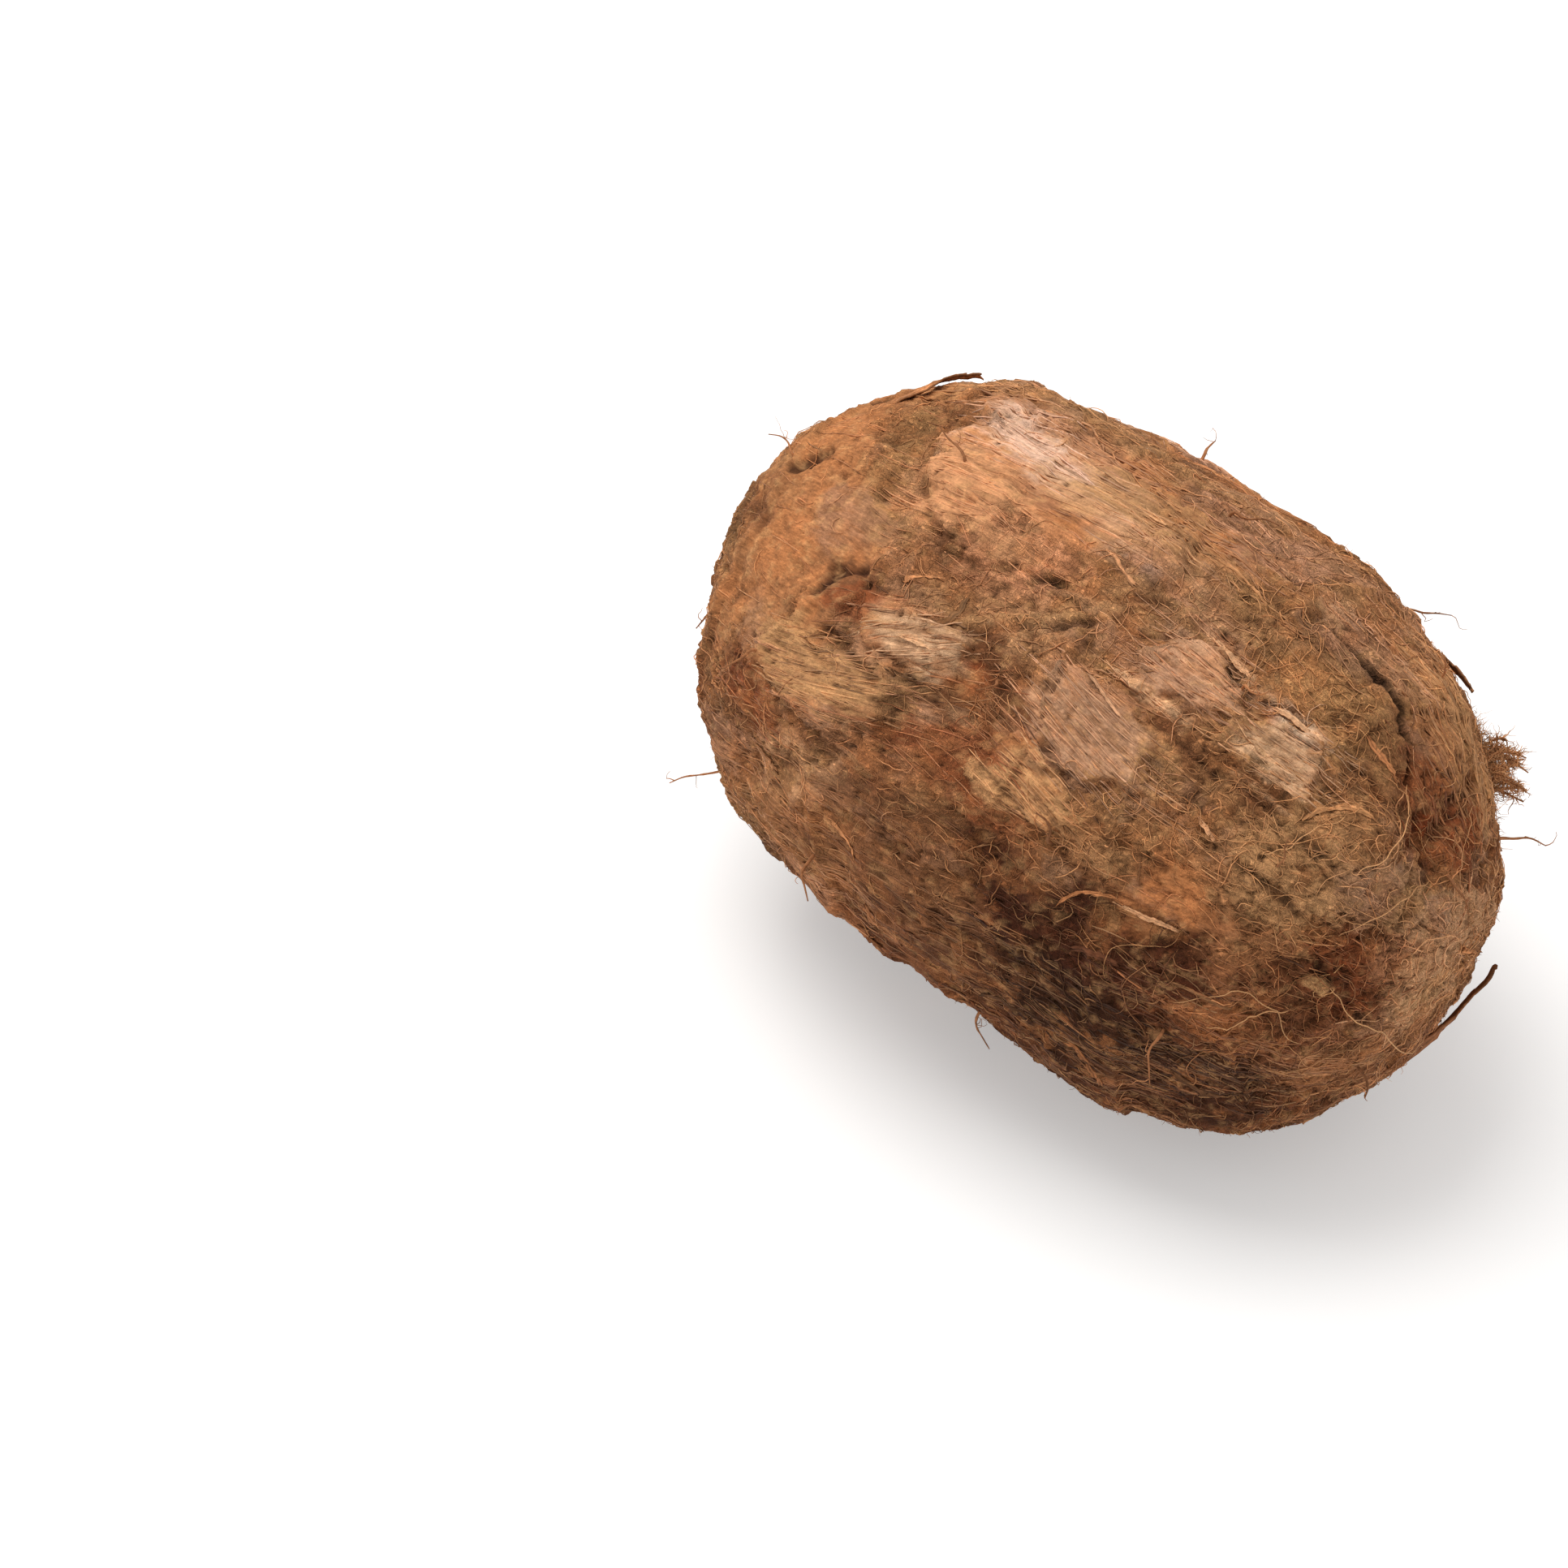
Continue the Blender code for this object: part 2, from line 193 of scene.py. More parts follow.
def skin(s, psi, frayed=0.0):
    """Points of the skin. frayed moves the outlines of the sheets of husk, where it is given."""
    turned = s + ring_wander(s, psi)
    dirs = direction(turned, psi)
    power = 2.0 / FULLNESS
    along = np.sign(np.cos(turned)) * np.abs(np.cos(turned)) ** power
    around = np.abs(np.sin(turned)) ** power
    point = np.stack(
        [HALF_LENGTH * along, -HALF_WIDTH * around * np.sin(psi), HALF_HEIGHT * around * np.cos(psi)], -1
    )
    outward = unit(point / np.array([HALF_LENGTH, HALF_WIDTH, HALF_HEIGHT]) ** 2)
    height = sum(size * bump(dirs, at, round_at, spread) for at, round_at, spread, size in LUMPS)
    height = height + lips(s, psi) + ribs(s, psi) + unevenness(dirs)
    for *outline, size in SHEETS:
        height = height + size * smooth((1.0 + frayed - sheet_reach(s, psi, *outline)) / SHEET_EDGE)
    for places, depth, spread in CREASES:
        height = height - depth * crease(dirs, places, spread)
    height = height - CROWN_DISH * bump(dirs, 180, 0, CROWN_DISH_SPREAD)
    height = height + CROWN_KNOB * bump(dirs, 180, 0, CROWN_KNOB_SPREAD)
    point = point + outward * height[..., None]
    point[..., 2] = np.maximum(point[..., 2] + AXIS_HEIGHT, 0.0)
    return point


def smooth(share):
    share = np.clip(share, 0.0, 1.0)
    return share * share * (3.0 - 2.0 * share)


def unit(vectors):
    return vectors / np.maximum(np.linalg.norm(vectors, axis=-1, keepdims=True), 1e-12)


# ---- Noise

CORNERS = [(i, j, k) for i in (0, 1) for j in (0, 1) for k in (0, 1)]
WAYS = direction(
    np.arccos(1.0 - 2.0 * (np.arange(64) + 0.5) / 64), np.arange(64) * math.pi * (3.0 - math.sqrt(5.0))
)


def scrambled(at, seed):
    """A number below 2**31 for each whole-number place."""
    number = at[..., 0] * 73856093 ^ at[..., 1] * 19349663 ^ at[..., 2] * 83492791 ^ seed * 2654435
    number = (number ^ (number >> 13)) & 0x7FFFFFFF
    number = (number * 1274126177) & 0x7FFFFFFF
    return number ^ (number >> 16)


def cells(points, seed):
    """Distances to the nearest and the next scattered point, one to a unit, and the nearest's number."""
    cell = np.floor(points).astype(np.int64)
    first = np.full(points.shape[:-1], 9.0)
    second, owner = first.copy(), np.zeros(points.shape[:-1], np.int64)
    for i in (-1, 0, 1):
        for j in (-1, 0, 1):
            for k in (-1, 0, 1):
                at = cell + (i, j, k)
                number = scrambled(at, seed)
                spot = at + np.stack([number & 255, (number >> 8) & 255, (number >> 16) & 255], -1) / 255.0
                away = np.linalg.norm(spot - points, axis=-1)
                second = np.where(away < first, first, np.minimum(second, away))
                owner = np.where(away < first, number, owner)
                first = np.minimum(first, away)
    return first, second, owner


def share_of(owner, salt):
    """A number from 0 to 1 for each owner."""
    return ((owner * (2 * salt + 7919) >> 5) & 1023) / 1023.0


def noise(points, seed):
    """Gradient noise of about -1 to 1, one cell to a unit."""
    cell = np.floor(points).astype(np.int64)
    part = points - cell
    fade = part * part * part * (part * (part * 6.0 - 15.0) + 10.0)
    total = np.zeros(points.shape[:-1])
    for corner in CORNERS:
        way = WAYS[scrambled(cell + corner, seed) & 63]
        weight = np.prod(np.where(corner, fade, 1.0 - fade), axis=-1)
        total += weight * ((part - corner) * way).sum(-1)
    return total * 1.7


def fractal(points, seed, octaves=4, gain=0.5):
    total, size = 0.0, 1.0
    for octave in range(octaves):
        total = total + size * noise(points * 2.03**octave, seed + 17 * octave)
        size *= gain
    return total


# ---- Colours, as seen, turned into linear light


def linear(red, green, blue):
    seen = np.array([red, green, blue]) / 255.0
    return np.where(seen <= 0.04045, seen / 12.92, ((seen + 0.055) / 1.055) ** 2.4)


ORANGE = linear(206, 132, 80)
PEACH = linear(226, 156, 112)
PINK = linear(238, 186, 152)
TAN = linear(208, 154, 104)
BROWN = linear(176, 118, 76)
DARK = linear(92, 56, 34)
MAUVE = linear(202, 156, 128)
OLIVE = linear(178, 128, 82)
RED = linear(154, 82, 46)
GOLD = linear(222, 167, 112)
PALE = linear(240, 200, 164)
UMBER = linear(136, 86, 54)
# The next colour is painted shadow, for the dark slits under the husk's edges
SLIT_SHADOW = linear(66, 38, 24)
WARM = linear(242, 187, 140)
BRIGHTEST_SKIN = 0.88
BRIGHTEST_FIBRE = 0.8


def mixed_shade(one, other, share):
    return one + (other - one) * share


def held(colour, most=BRIGHTEST_FIBRE):
    """Colours no brighter than most, with their hue kept."""
    brightest = np.max(colour, axis=-1, keepdims=True)
    return np.maximum(colour / np.maximum(brightest / most, 1.0), 0.004)


# Patches of colour, as (s, psi, half length, half width, turn, colour, strength)
PATCHES = (
    (120, 40, 34, 60, 0, BROWN, 0.35),
    (128, 34, 13, 22, 10, ORANGE, 0.6),
    (146, 40, 14, 40, 0, OLIVE, 0.5),
    (136, 342, 16, 26, 0, mixed_shade(ORANGE, BROWN, 0.3), 0.6),
    (115, 14, 5, 15, 10, OLIVE, 0.9),
    (94, 20, 9, 8, 0, PEACH, 0.7),
    (98, 357, 13, 11, -6, PINK, 0.7),
    (102, 0, 8, 8, -6, mixed_shade(PINK, PALE, 0.35) * (1.0, 1.03, 1.12), 1.0),
    (92, 348, 9, 7, 0, BROWN, 0.8),
    (90, 16, 7, 5, 10, ORANGE, 0.6),
    (96, 26, 6, 5, 0, PEACH, 0.6),
    (73, 343, 9, 6, 0, mixed_shade(PEACH, PINK, 0.4), 0.6),
    (96, 338, 16, 8, 0, TAN, 0.5),
    (84, 11, 4, 3, 0, MAUVE, 0.8),
    (79, 3, 16, 7, 0, TAN, 0.4),
    (92, 32, 9, 6, 0, TAN, 0.35),
    (60, 42, 6, 6, 0, TAN, 0.6),
    (50, 17, 5, 3.5, 10, PINK, 0.8),
    (115, 58, 4, 5, 0, GOLD, 0.6),
    (117, 73, 8, 7, 0, RED, 0.9),
    (76, 16, 12, 5, 0, OLIVE, 0.6),
    (56, 5, 14, 8, 0, OLIVE, 0.7),
    (40, 8, 9, 8, 0, OLIVE, 0.7),
    (34, 50, 12, 12, 0, TAN, 0.6),
    (48, 84, 10, 10, 0, BROWN, 0.6),
    (113, 41, 6, 5, 20, UMBER, 0.9),
    (90, 46, 8, 8, 0, UMBER, 1.0),
    (91, 46, 3, 3, 0, RED, 0.8),
    (86, 60, 9, 8, 0, RED, 0.8),
    # The next four darken the underside and its lower left: a darker husk below, with painted shade where
    # the light from above falls off and a painted shadow at the lower left, as if cast by something beside
    # the tuber
    (60, 124, 42, 28, 0, mixed_shade(UMBER, RED, 0.4), 0.9),
    (84, 84, 14, 12, 0, UMBER, 0.6),
    (62, 110, 28, 20, 0, DARK, 0.75),
    (62, 84, 16, 8, 0, UMBER, 0.5),
    (42, 76, 9, 9, 0, BROWN, 0.6),
    (42, 96, 12, 5, -25, ORANGE, 0.5),
    (32, 88, 9, 10, 0, UMBER, 0.9),
    (30, 80, 6, 8, 0, DARK, 0.4),
    (26, 350, 9, 14, 0, BROWN, 0.6),
    (19, 8, 9, 3, -17, RED, 1.0),
    (30, 356, 5, 6, 0, RED, 0.6),
    (34, 325, 12, 12, 0, OLIVE, 0.6),
    (16, 20, 5, 4, 0, MAUVE, 0.4),
    (10, 45, 9, 11, 0, TAN, 0.8),
    (7, 90, 8, 6, 0, GOLD, 0.5),
    (22, 84, 6, 8, 0, UMBER, 0.8),
    (6, 140, 8, 6, 0, TAN, 0.7),
    (8, 250, 6, 8, 0, BROWN, 0.6),
    (84, 318, 12, 8, 0, ORANGE, 0.5),
    (94, 250, 9, 10, 0, UMBER, 0.8),
    (150, 250, 22, 40, 0, mixed_shade(ORANGE, BROWN, 0.5), 0.6),
    (150, 120, 18, 30, 0, RED, 0.5),
    (110, 190, 40, 26, 0, UMBER, 0.6),
    (60, 205, 16, 12, 0, RED, 0.5),
    (175, 0, 14, 180, 0, UMBER, 0.8),
    (40, 92, 30, 22, 0, RED, 0.22),
    # Painted shadow at the lower left, then painted shade at the bottom
    (63, 84, 17, 12, 0, mixed_shade(DARK, RED, 0.15) * (0.6, 0.46, 0.46), 0.95),
    (51, 121, 22, 12, 0, DARK, 0.8),
    (86, 358, 8, 7, 0, TAN * 0.78, 0.8),
    (94, 4, 5, 5, 0, TAN, 0.5),
    (95, 21, 7, 5, 0, PEACH * 1.3, 0.85),
    (4, 60, 10, 12, 0, mixed_shade(TAN, PINK, 0.3) * 1.5, 0.88),
    (141, 34, 7, 5, 10, UMBER, 0.6),
    (143, 44, 8, 6, 0, OLIVE * 0.8, 0.6),
    (125, 44, 5, 5, 0, mixed_shade(BROWN, UMBER, 0.5), 0.7),
    (110, 45, 5, 4, 0, RED, 0.7),
    (39, 68, 7, 6, 0, BROWN * 1.15, 0.9),
    (34, 50, 9, 9, 0, TAN * 1.1, 0.75),
    (49, 6, 8, 5, 0, OLIVE * 1.3, 0.85),
    (26, 132, 9, 8, 0, BROWN, 0.8),
    (131, 38, 14, 20, 0, BROWN, 0.25),
    (133, 47, 8, 9, 0, BROWN * 0.95, 0.7),
    # Painted shade: the next two darken the bottom, most at its lower left
    (65, 107, 13, 13, 0, mixed_shade(DARK, RED, 0.15) * 0.36, 0.92),
    (50, 119, 12, 8, 0, mixed_shade(DARK, RED, 0.15) * 0.4, 0.85),
    (18, 80, 9, 9, 0, RED * (0.95, 0.8, 0.7), 0.65),
    (20, 343, 8, 8, 0, RED * (1.0, 0.8, 0.7), 0.75),
    (69, 57, 4, 4, 0, mixed_shade(ORANGE, TAN, 0.5), 0.5),
    (133, 34, 12, 18, 0, BROWN, 0.25),
    (82, 352, 7, 5, 0, BROWN, 0.3),
    (52, 34, 7, 3, 0, BROWN * 1.15, 0.5),
    (64, 15, 6, 3, 0, TAN, 0.45),
)

# The same for the sheets of husk, which have crisp outlines
PLATES = (
    (104, 14, 9, 12, 15, mixed_shade(PEACH, TAN, 0.45), 1.0),
    (120, 30, 7, 6, 0, mixed_shade(BROWN, MAUVE, 0.4) * 0.9, 0.7),
    (129, 42, 6, 8, 0, ORANGE, 0.6),
    (71, 43, 10, 9, 5, mixed_shade(MAUVE, TAN, 0.35) * 0.95, 0.9),
    (65, 22, 9, 8, 5, mixed_shade(MAUVE, TAN, 0.35) * 1.06, 0.85),
    (54, 26, 5, 5, 0, TAN, 0.6),
    (48, 25, 7, 5, 8, mixed_shade(TAN, PALE, 0.5), 0.85),
    (49, 16.5, 5, 2.2, -6, PALE, 0.9),
    (77, 58, 8, 7, -10, TAN * 1.1, 0.9),
    (100, 46, 6, 6, 10, mixed_shade(TAN, PALE, 0.5), 0.85),
    (107, 60, 12, 7, 15, TAN * 0.92, 0.95),
    (52, 65, 6, 6, 0, ORANGE, 0.8),
    (55, 73, 4, 1.6, 0, GOLD, 0.6),
    (9, 14, 5, 2.4, -17, MAUVE, 0.6),
    (6, 150, 5, 3, 0, GOLD, 0.5),
    (101, 302, 16, 12, 10, PINK, 0.75),
    (68, 268, 14, 13, -20, MAUVE, 0.85),
    (122, 265, 12, 12, 15, TAN, 0.8),
    (76, 228, 12, 10, 10, MAUVE, 0.65),
    (128, 130, 13, 11, -15, TAN, 0.75),
    (44, 225, 10, 16, 0, TAN, 0.65),
)

# Strokes on the skin, as (places, half width in degrees, height in metres, colour, strength)
STROKES = (
    # Edges of the husk's sheets, and the dark slits below them, painted dark as the shadow in them
    (((51, 37), (54, 36.5), (58, 35.5), (62, 35)), 0.9, -0.0008, mixed_shade(SLIT_SHADOW, UMBER, 0.4), 0.75),
    (((62, 34.5), (70, 33), (80, 34)), 0.7, -0.0006, UMBER, 0.65),
    (((80, 32), (76, 31), (73, 30)), 1.2, 0.0006, OLIVE, 0.8),
    (((73, 30), (68, 31), (64, 31), (60, 31)), 1.0, 0.0008, WARM * 1.2, 1.0),
    (((40, 35), (45, 34), (50, 34)), 0.6, 0.0005, WARM, 0.7),
    (((41, 37), (46, 36), (52, 36)), 0.6, -0.0006, SLIT_SHADOW, 0.6),
    (((53, 32), (50, 33.5), (47, 35)), 0.5, -0.0006, UMBER, 0.7),
    (((58, 17), (60, 16.5), (63, 16)), 1.1, -0.0012, SLIT_SHADOW, 0.95),
    (((69, 12.5), (65, 12.5), (61, 14)), 0.8, 0.0005, WARM * 1.1, 0.95),
    (((56, 17), (53, 14.5), (51, 13)), 0.8, -0.0010, SLIT_SHADOW, 0.85),
    (((50, 20), (47, 19.5), (44, 18)), 0.8, -0.0008, SLIT_SHADOW, 0.8),
    (((46, 8), (45, 7)), 1.6, -0.0012, SLIT_SHADOW, 0.8),
    (((84, 59), (78, 62), (73, 65)), 0.8, -0.0008, SLIT_SHADOW, 0.7),
    (((78, 49), (74, 52), (70, 55)), 0.8, -0.0008, SLIT_SHADOW, 0.65),
    (((25, 4), (19, 8), (13, 16)), 1.1, -0.0010, SLIT_SHADOW, 0.6),
    (((38, 14), (34, 13), (31, 16)), 0.9, -0.0008, SLIT_SHADOW, 0.8),
    (((59, 353), (60, 356)), 1.5, -0.0010, SLIT_SHADOW, 0.8),
    (((117, 47), (117, 41), (113, 38), (111, 40)), 1.2, -0.0014, SLIT_SHADOW, 0.95),
    (((136, 24), (133, 20), (129, 17)), 1.2, -0.0012, SLIT_SHADOW, 0.9),
    (((138, 358), (136, 351), (138, 340)), 1.2, -0.0010, SLIT_SHADOW, 0.8),
    (((147, 32), (140, 36), (136, 38)), 2.4, -0.0006, UMBER, 0.8),
    (((115, 357), (113, 10), (109, 18), (105, 23.5), (100, 25)), 1.0, -0.0009, UMBER, 0.8),
    (((101, 27), (96, 25), (90, 22), (84, 20)), 1.0, -0.0007, UMBER, 0.7),
    (((90, 23), (88, 22)), 1.3, -0.0010, SLIT_SHADOW, 0.85),
    (((99, 37), (96, 38), (92, 34), (83, 25)), 0.9, 0.0006, TAN, 0.7),
    (((98, 40), (93, 38), (88, 32), (80, 24)), 0.9, -0.0007, SLIT_SHADOW, 0.55),
    (((81, 18), (79, 15), (76, 12)), 0.8, -0.0008, SLIT_SHADOW, 0.75),
    (((67, 350), (65, 349)), 0.9, -0.0009, SLIT_SHADOW, 0.8),
    (((90, 22), (88, 22)), 0.9, -0.0008, SLIT_SHADOW, 0.7),
    (((58.5, 353), (56, 352.5)), 1.0, -0.0010, SLIT_SHADOW, 0.85),
    (((94, 54), (98, 51), (103, 50)), 1.0, -0.0010, SLIT_SHADOW, 0.8),
    (((93, 66), (97, 56), (104, 54), (111, 52)), 1.0, -0.0009, SLIT_SHADOW, 0.7),
    (((66, 57), (60, 60), (55, 60)), 1.0, -0.0008, SLIT_SHADOW, 0.6),
    (((52, 74), (60, 70), (70, 66)), 1.2, -0.0008, UMBER, 0.7),
    (((75, 22), (70, 14), (64, 14)), 0.8, -0.0008, UMBER, 0.5),
    (((78, 12), (70, 9), (62, 8), (56, 12)), 0.9, 0.0005, TAN, 0.5),
    (((27, 78), (25, 82)), 1.6, -0.0014, SLIT_SHADOW, 0.95),
    (((29, 81), (26, 84)), 1.2, 0.0010, GOLD, 0.8),
    (((22, 78), (21, 95), (18, 108)), 1.0, -0.0008, SLIT_SHADOW, 0.7),
    (((32, 58), (38, 54), (43, 52)), 1.1, -0.0009, SLIT_SHADOW, 0.7),
    (((30, 40), (36, 38)), 1.3, -0.0009, SLIT_SHADOW, 0.7),
    (((21, 355), (26, 345), (31, 330)), 1.6, -0.0012, SLIT_SHADOW, 0.7),
    (((18, 10), (22, 356), (25, 338)), 1.2, -0.0010, SLIT_SHADOW, 0.7),
    (((17, 30), (14, 20), (10, 0)), 0.9, 0.0006, GOLD, 0.6),
    # The sides that the photograph doesn't show
    (((80, 282), (70, 284), (60, 280)), 1.1, -0.0010, SLIT_SHADOW, 0.8),
    (((58, 256), (66, 252), (76, 254)), 1.0, -0.0010, SLIT_SHADOW, 0.8),
    (((112, 290), (104, 290), (92, 292)), 1.0, -0.0010, SLIT_SHADOW, 0.8),
    (((116, 312), (104, 316), (92, 312)), 1.0, -0.0008, SLIT_SHADOW, 0.7),
    (((132, 262), (124, 250), (114, 252)), 1.1, -0.0010, SLIT_SHADOW, 0.8),
    (((66, 236), (72, 240), (84, 238)), 1.0, -0.0009, SLIT_SHADOW, 0.7),
    (((114, 128), (120, 118), (132, 116)), 1.1, -0.0010, SLIT_SHADOW, 0.8),
    (((54, 216), (48, 208), (40, 206)), 1.0, -0.0009, SLIT_SHADOW, 0.8),
    (((140, 150), (132, 152), (120, 146)), 1.0, -0.0009, SLIT_SHADOW, 0.8),
    (((96, 130), (90, 122), (82, 124)), 1.2, -0.0009, SLIT_SHADOW, 0.7),
    (((150, 290), (144, 270), (148, 240)), 1.4, -0.0010, SLIT_SHADOW, 0.7),
    (((160, 80), (150, 70), (142, 80)), 1.4, -0.0010, SLIT_SHADOW, 0.7),
)

# How much the fibres lie straight along the tuber, as (s, psi, half length, half width, turn, share)
STRAIGHT = (
    (71, 43, 11, 10, 5, 1.0),
    (65, 22, 9, 8, 5, 1.0),
    (48, 24, 8, 6, 8, 1.0),
    (77, 58, 9, 8, -10, 1.0),
    (94, 357, 22, 13, -8, 1.0),
    (104, 14, 9, 11, 15, 0.9),
    (100, 47, 8, 8, 10, 1.0),
    (106, 61, 12, 9, 15, 1.0),
    (101, 302, 18, 14, 10, 1.0),
    (68, 268, 16, 15, -20, 1.0),
    (122, 265, 14, 14, 15, 0.9),
    (76, 228, 14, 12, 10, 0.8),
    (128, 130, 15, 13, -15, 0.9),
    (44, 225, 12, 18, 0, 0.8),
    (36, 336, 16, 12, 0, 0.8),
    (48, 112, 26, 22, 0, 0.7),
    (95, 100, 24, 22, 0, 0.6),
    (90, 180, 40, 30, 0, 0.7),
)

# Where the husk's grain runs aslant, as (s, psi, spread, radians)
DRIFTS = (
    (35, 135, 24, -0.85),
    (72, 46, 9, -0.28),
    (78, 60, 8, -0.20),
    (48, 25, 8, 0.10),
    (106, 60, 12, 0.25),
    (100, 46, 7, 0.5),
    (84, 30, 8, -0.3),
    (30, 320, 18, 0.35),
    (120, 240, 16, -0.4),
    (70, 225, 16, 0.4),
    (130, 120, 18, 0.4),
)

# Where hardly any fibres hide the skin
BARE = (
    (126, 32, 16, 28, 0, 0.9),
    (99, 3, 16, 14, -8, 0.85),
    (104, 14, 9, 12, 15, 0.95),
    (71, 43, 10, 9, 5, 0.9),
    (65, 22, 8, 7, 5, 0.8),
    (48, 24, 7, 5, 8, 0.8),
    (77, 58, 8, 7, -10, 0.8),
    (52, 66, 7, 7, 0, 0.8),
    (107, 60, 11, 7, 15, 0.85),
    (100, 46, 6, 6, 10, 0.8),
    (136, 342, 16, 26, 0, 0.7),
    (150, 250, 18, 34, 0, 0.8),
    (122, 265, 12, 12, 15, 0.6),
    (101, 302, 16, 12, 10, 0.6),
    (68, 268, 13, 12, -20, 0.6),
    (76, 228, 12, 10, 10, 0.5),
    (128, 130, 13, 11, -15, 0.6),
)


# ---- The fine skin

COLUMNS = 600
ROWS = 322
HALVES = 2  # pieces that the skin is made in, each under the limit on triangles
BROAD_RELIEF = 0.00080
STREAK_RELIEF = 0.00030
FINE_STREAK_RELIEF = 0.00010
CRUMB_RELIEF = 0.00034
PLATE_RELIEF = (0.0013, 0.0006)
PLATE_SIZES_MM = (15.0, 6.0)
PIT_DEPTH = 0.0005
SPLIT_DEPTH = 0.0034
SPLIT_LIP = 0.0004
# How the husk's grain is drawn out along the tuber
GRAIN_RADIUS = 0.064
GRAIN_PER_RADIAN = 0.086
GRAIN_STRETCH = 0.11
PLATE_STRETCH = 0.55


def grain(s, psi):
    """Coordinates that are drawn out along the husk's grain, so that noise on them streaks along it."""
    dirs = direction(s, psi)
    for at, round_at, wide, turn in DRIFTS:
        if abs(turn) < 0.6:
            at = math.radians(at)
            psi = psi - turn * bump(dirs, math.degrees(at), round_at, wide) * (s - at) / math.sin(at)
    radius = GRAIN_RADIUS * np.sin(s) ** 0.6
    return np.stack(
        [radius * np.cos(psi), radius * np.sin(psi), GRAIN_PER_RADIAN * GRAIN_STRETCH * s], -1
    )


def away_from(dirs, places):
    """Degrees from a line on the skin."""
    away = np.full(dirs.shape[:-1], -1.0)
    for start, end in zip(places, places[1:]):
        a, b = (direction(*np.radians(spot)) for spot in (start, end))
        length = math.degrees(math.acos(max(-1.0, min(1.0, float(a @ b)))))
        for share in np.linspace(0.0, 1.0, 2 + int(length / 1.2)):
            spot = a + (b - a) * share
            away = np.maximum(away, dirs @ (spot / np.linalg.norm(spot)))
    return np.degrees(np.arccos(np.clip(away, -1.0, 1.0)))


def surface():
    """Arrays over rows (s) and columns (psi): places, normals, colours and shares for the fibres."""
    s, psi = np.meshgrid(
        np.linspace(0.0, math.pi, ROWS + 1),
        np.linspace(0.0, 2 * math.pi, COLUMNS, endpoint=False),
        indexing="ij",
    )
    plain = skin(s, psi)
    mm = plain * 1000.0
    frayed = 0.12 * fractal(mm / 9.0, 3) + 0.05 * noise(mm / 1.9, 5)
    point = skin(s, psi, frayed)
    down = np.gradient(plain, axis=0)
    across = np.roll(plain, -1, 1) - np.roll(plain, 1, 1)
    normal = unit(np.cross(down, across))
    normal[0] = (1, 0, 0)
    normal[-1] = (-1, 0, 0)
    g = grain(s, psi) * 1000.0
    straight, bare = np.zeros(s.shape), np.zeros(s.shape)
    warp = 0.5 * fractal(mm / 16.0, 41) + 0.2 * noise(mm / 3.0, 43)
    for *outline, share in STRAIGHT:
        straight = np.maximum(straight, share * smooth((1.05 + warp - sheet_reach(s, psi, *outline)) / 0.35))
    for *outline, share in BARE:
        bare = np.maximum(bare, share * smooth((1.05 + warp - sheet_reach(s, psi, *outline)) / 0.4))
    plates = [plate(s, psi, mm, size, seed) for size, seed in zip(PLATE_SIZES_MM, (151, 157))]
    # Relief
    streaks = fractal(g / 1.5, 61, 3)
    fine_streaks = noise(g / 0.62, 67)
    crumbs = fractal(mm / 4.2, 71, 4, 0.6)
    broad = fractal(mm / 17.0, 73, 2)
    height = BROAD_RELIEF * broad + STREAK_RELIEF * streaks + FINE_STREAK_RELIEF * fine_streaks
    height += CRUMB_RELIEF * crumbs * (1.0 - 0.85 * np.maximum(straight, bare))
    for (level, crack, _), size in zip(plates, PLATE_RELIEF):
        height += (size * (level - 0.5) - 0.4 * size * crack) * (1.0 - 0.6 * bare)
    pits = smooth((noise(mm / 2.3, 79) - 0.5) / 0.25) * smooth((fractal(mm / 20.0, 83) - 0.1) / 0.3)
    height -= PIT_DEPTH * pits
    dirs = direction(s, psi)
    split = away_from(dirs, SPLIT) + 0.12 * noise(mm / 3.0, 89)
    along = np.clip(np.minimum(np.degrees(s) - 30.0, 60.0 - np.degrees(s)) / 12.0, 0.45, 1.0)
    gap = smooth((1.30 * along - split) / 0.55)
    height -= SPLIT_DEPTH * gap
    height += SPLIT_LIP * smooth(1.0 - np.abs(split - 2.6) / 2.0)
    ragged = 0.9 * noise(mm / 2.6, 163) + 0.9 * noise(mm / 6.0, 165)
    strokes = []
    for places, wide, rise, shade, strength in STROKES:
        near = smooth(1.3 - (away_from(dirs, places) + ragged * wide * 0.6) / wide)
        height += rise * near
        strokes.append((near * strength, shade))
    fade = smooth((plain[..., 2] - 0.0002) / 0.003)
    ends = smooth(np.sin(s) / 0.12)
    height *= fade * (0.35 + 0.65 * ends)
    point = point + normal * height[..., None]
    point[..., 2] = np.maximum(point[..., 2], 0.0)
    # The poles are one point each
    point[0] = point[0].mean(0)
    point[-1] = point[-1].mean(0)
    # Painted shade: how far the split is painted dark, a little past its hollow
    dark = smooth((1.70 * along - split) / 0.7)
    colour = colours(s, psi, mm, streaks, crumbs, straight, bare, pits, dark, plates, strokes)
    reach_s = np.linalg.norm(np.gradient(plain, axis=0), axis=-1) / (math.pi / ROWS)
    reach_psi = np.linalg.norm(across, axis=-1) / (4 * math.pi / COLUMNS)
    return {
        "s": s, "psi": psi, "point": point, "normal": normal, "colour": colour, "straight": straight,
        "gap": gap, "bare": bare,
        "reach_s": np.maximum(reach_s, 0.02), "reach_psi": np.maximum(reach_psi, 0.004),
    }


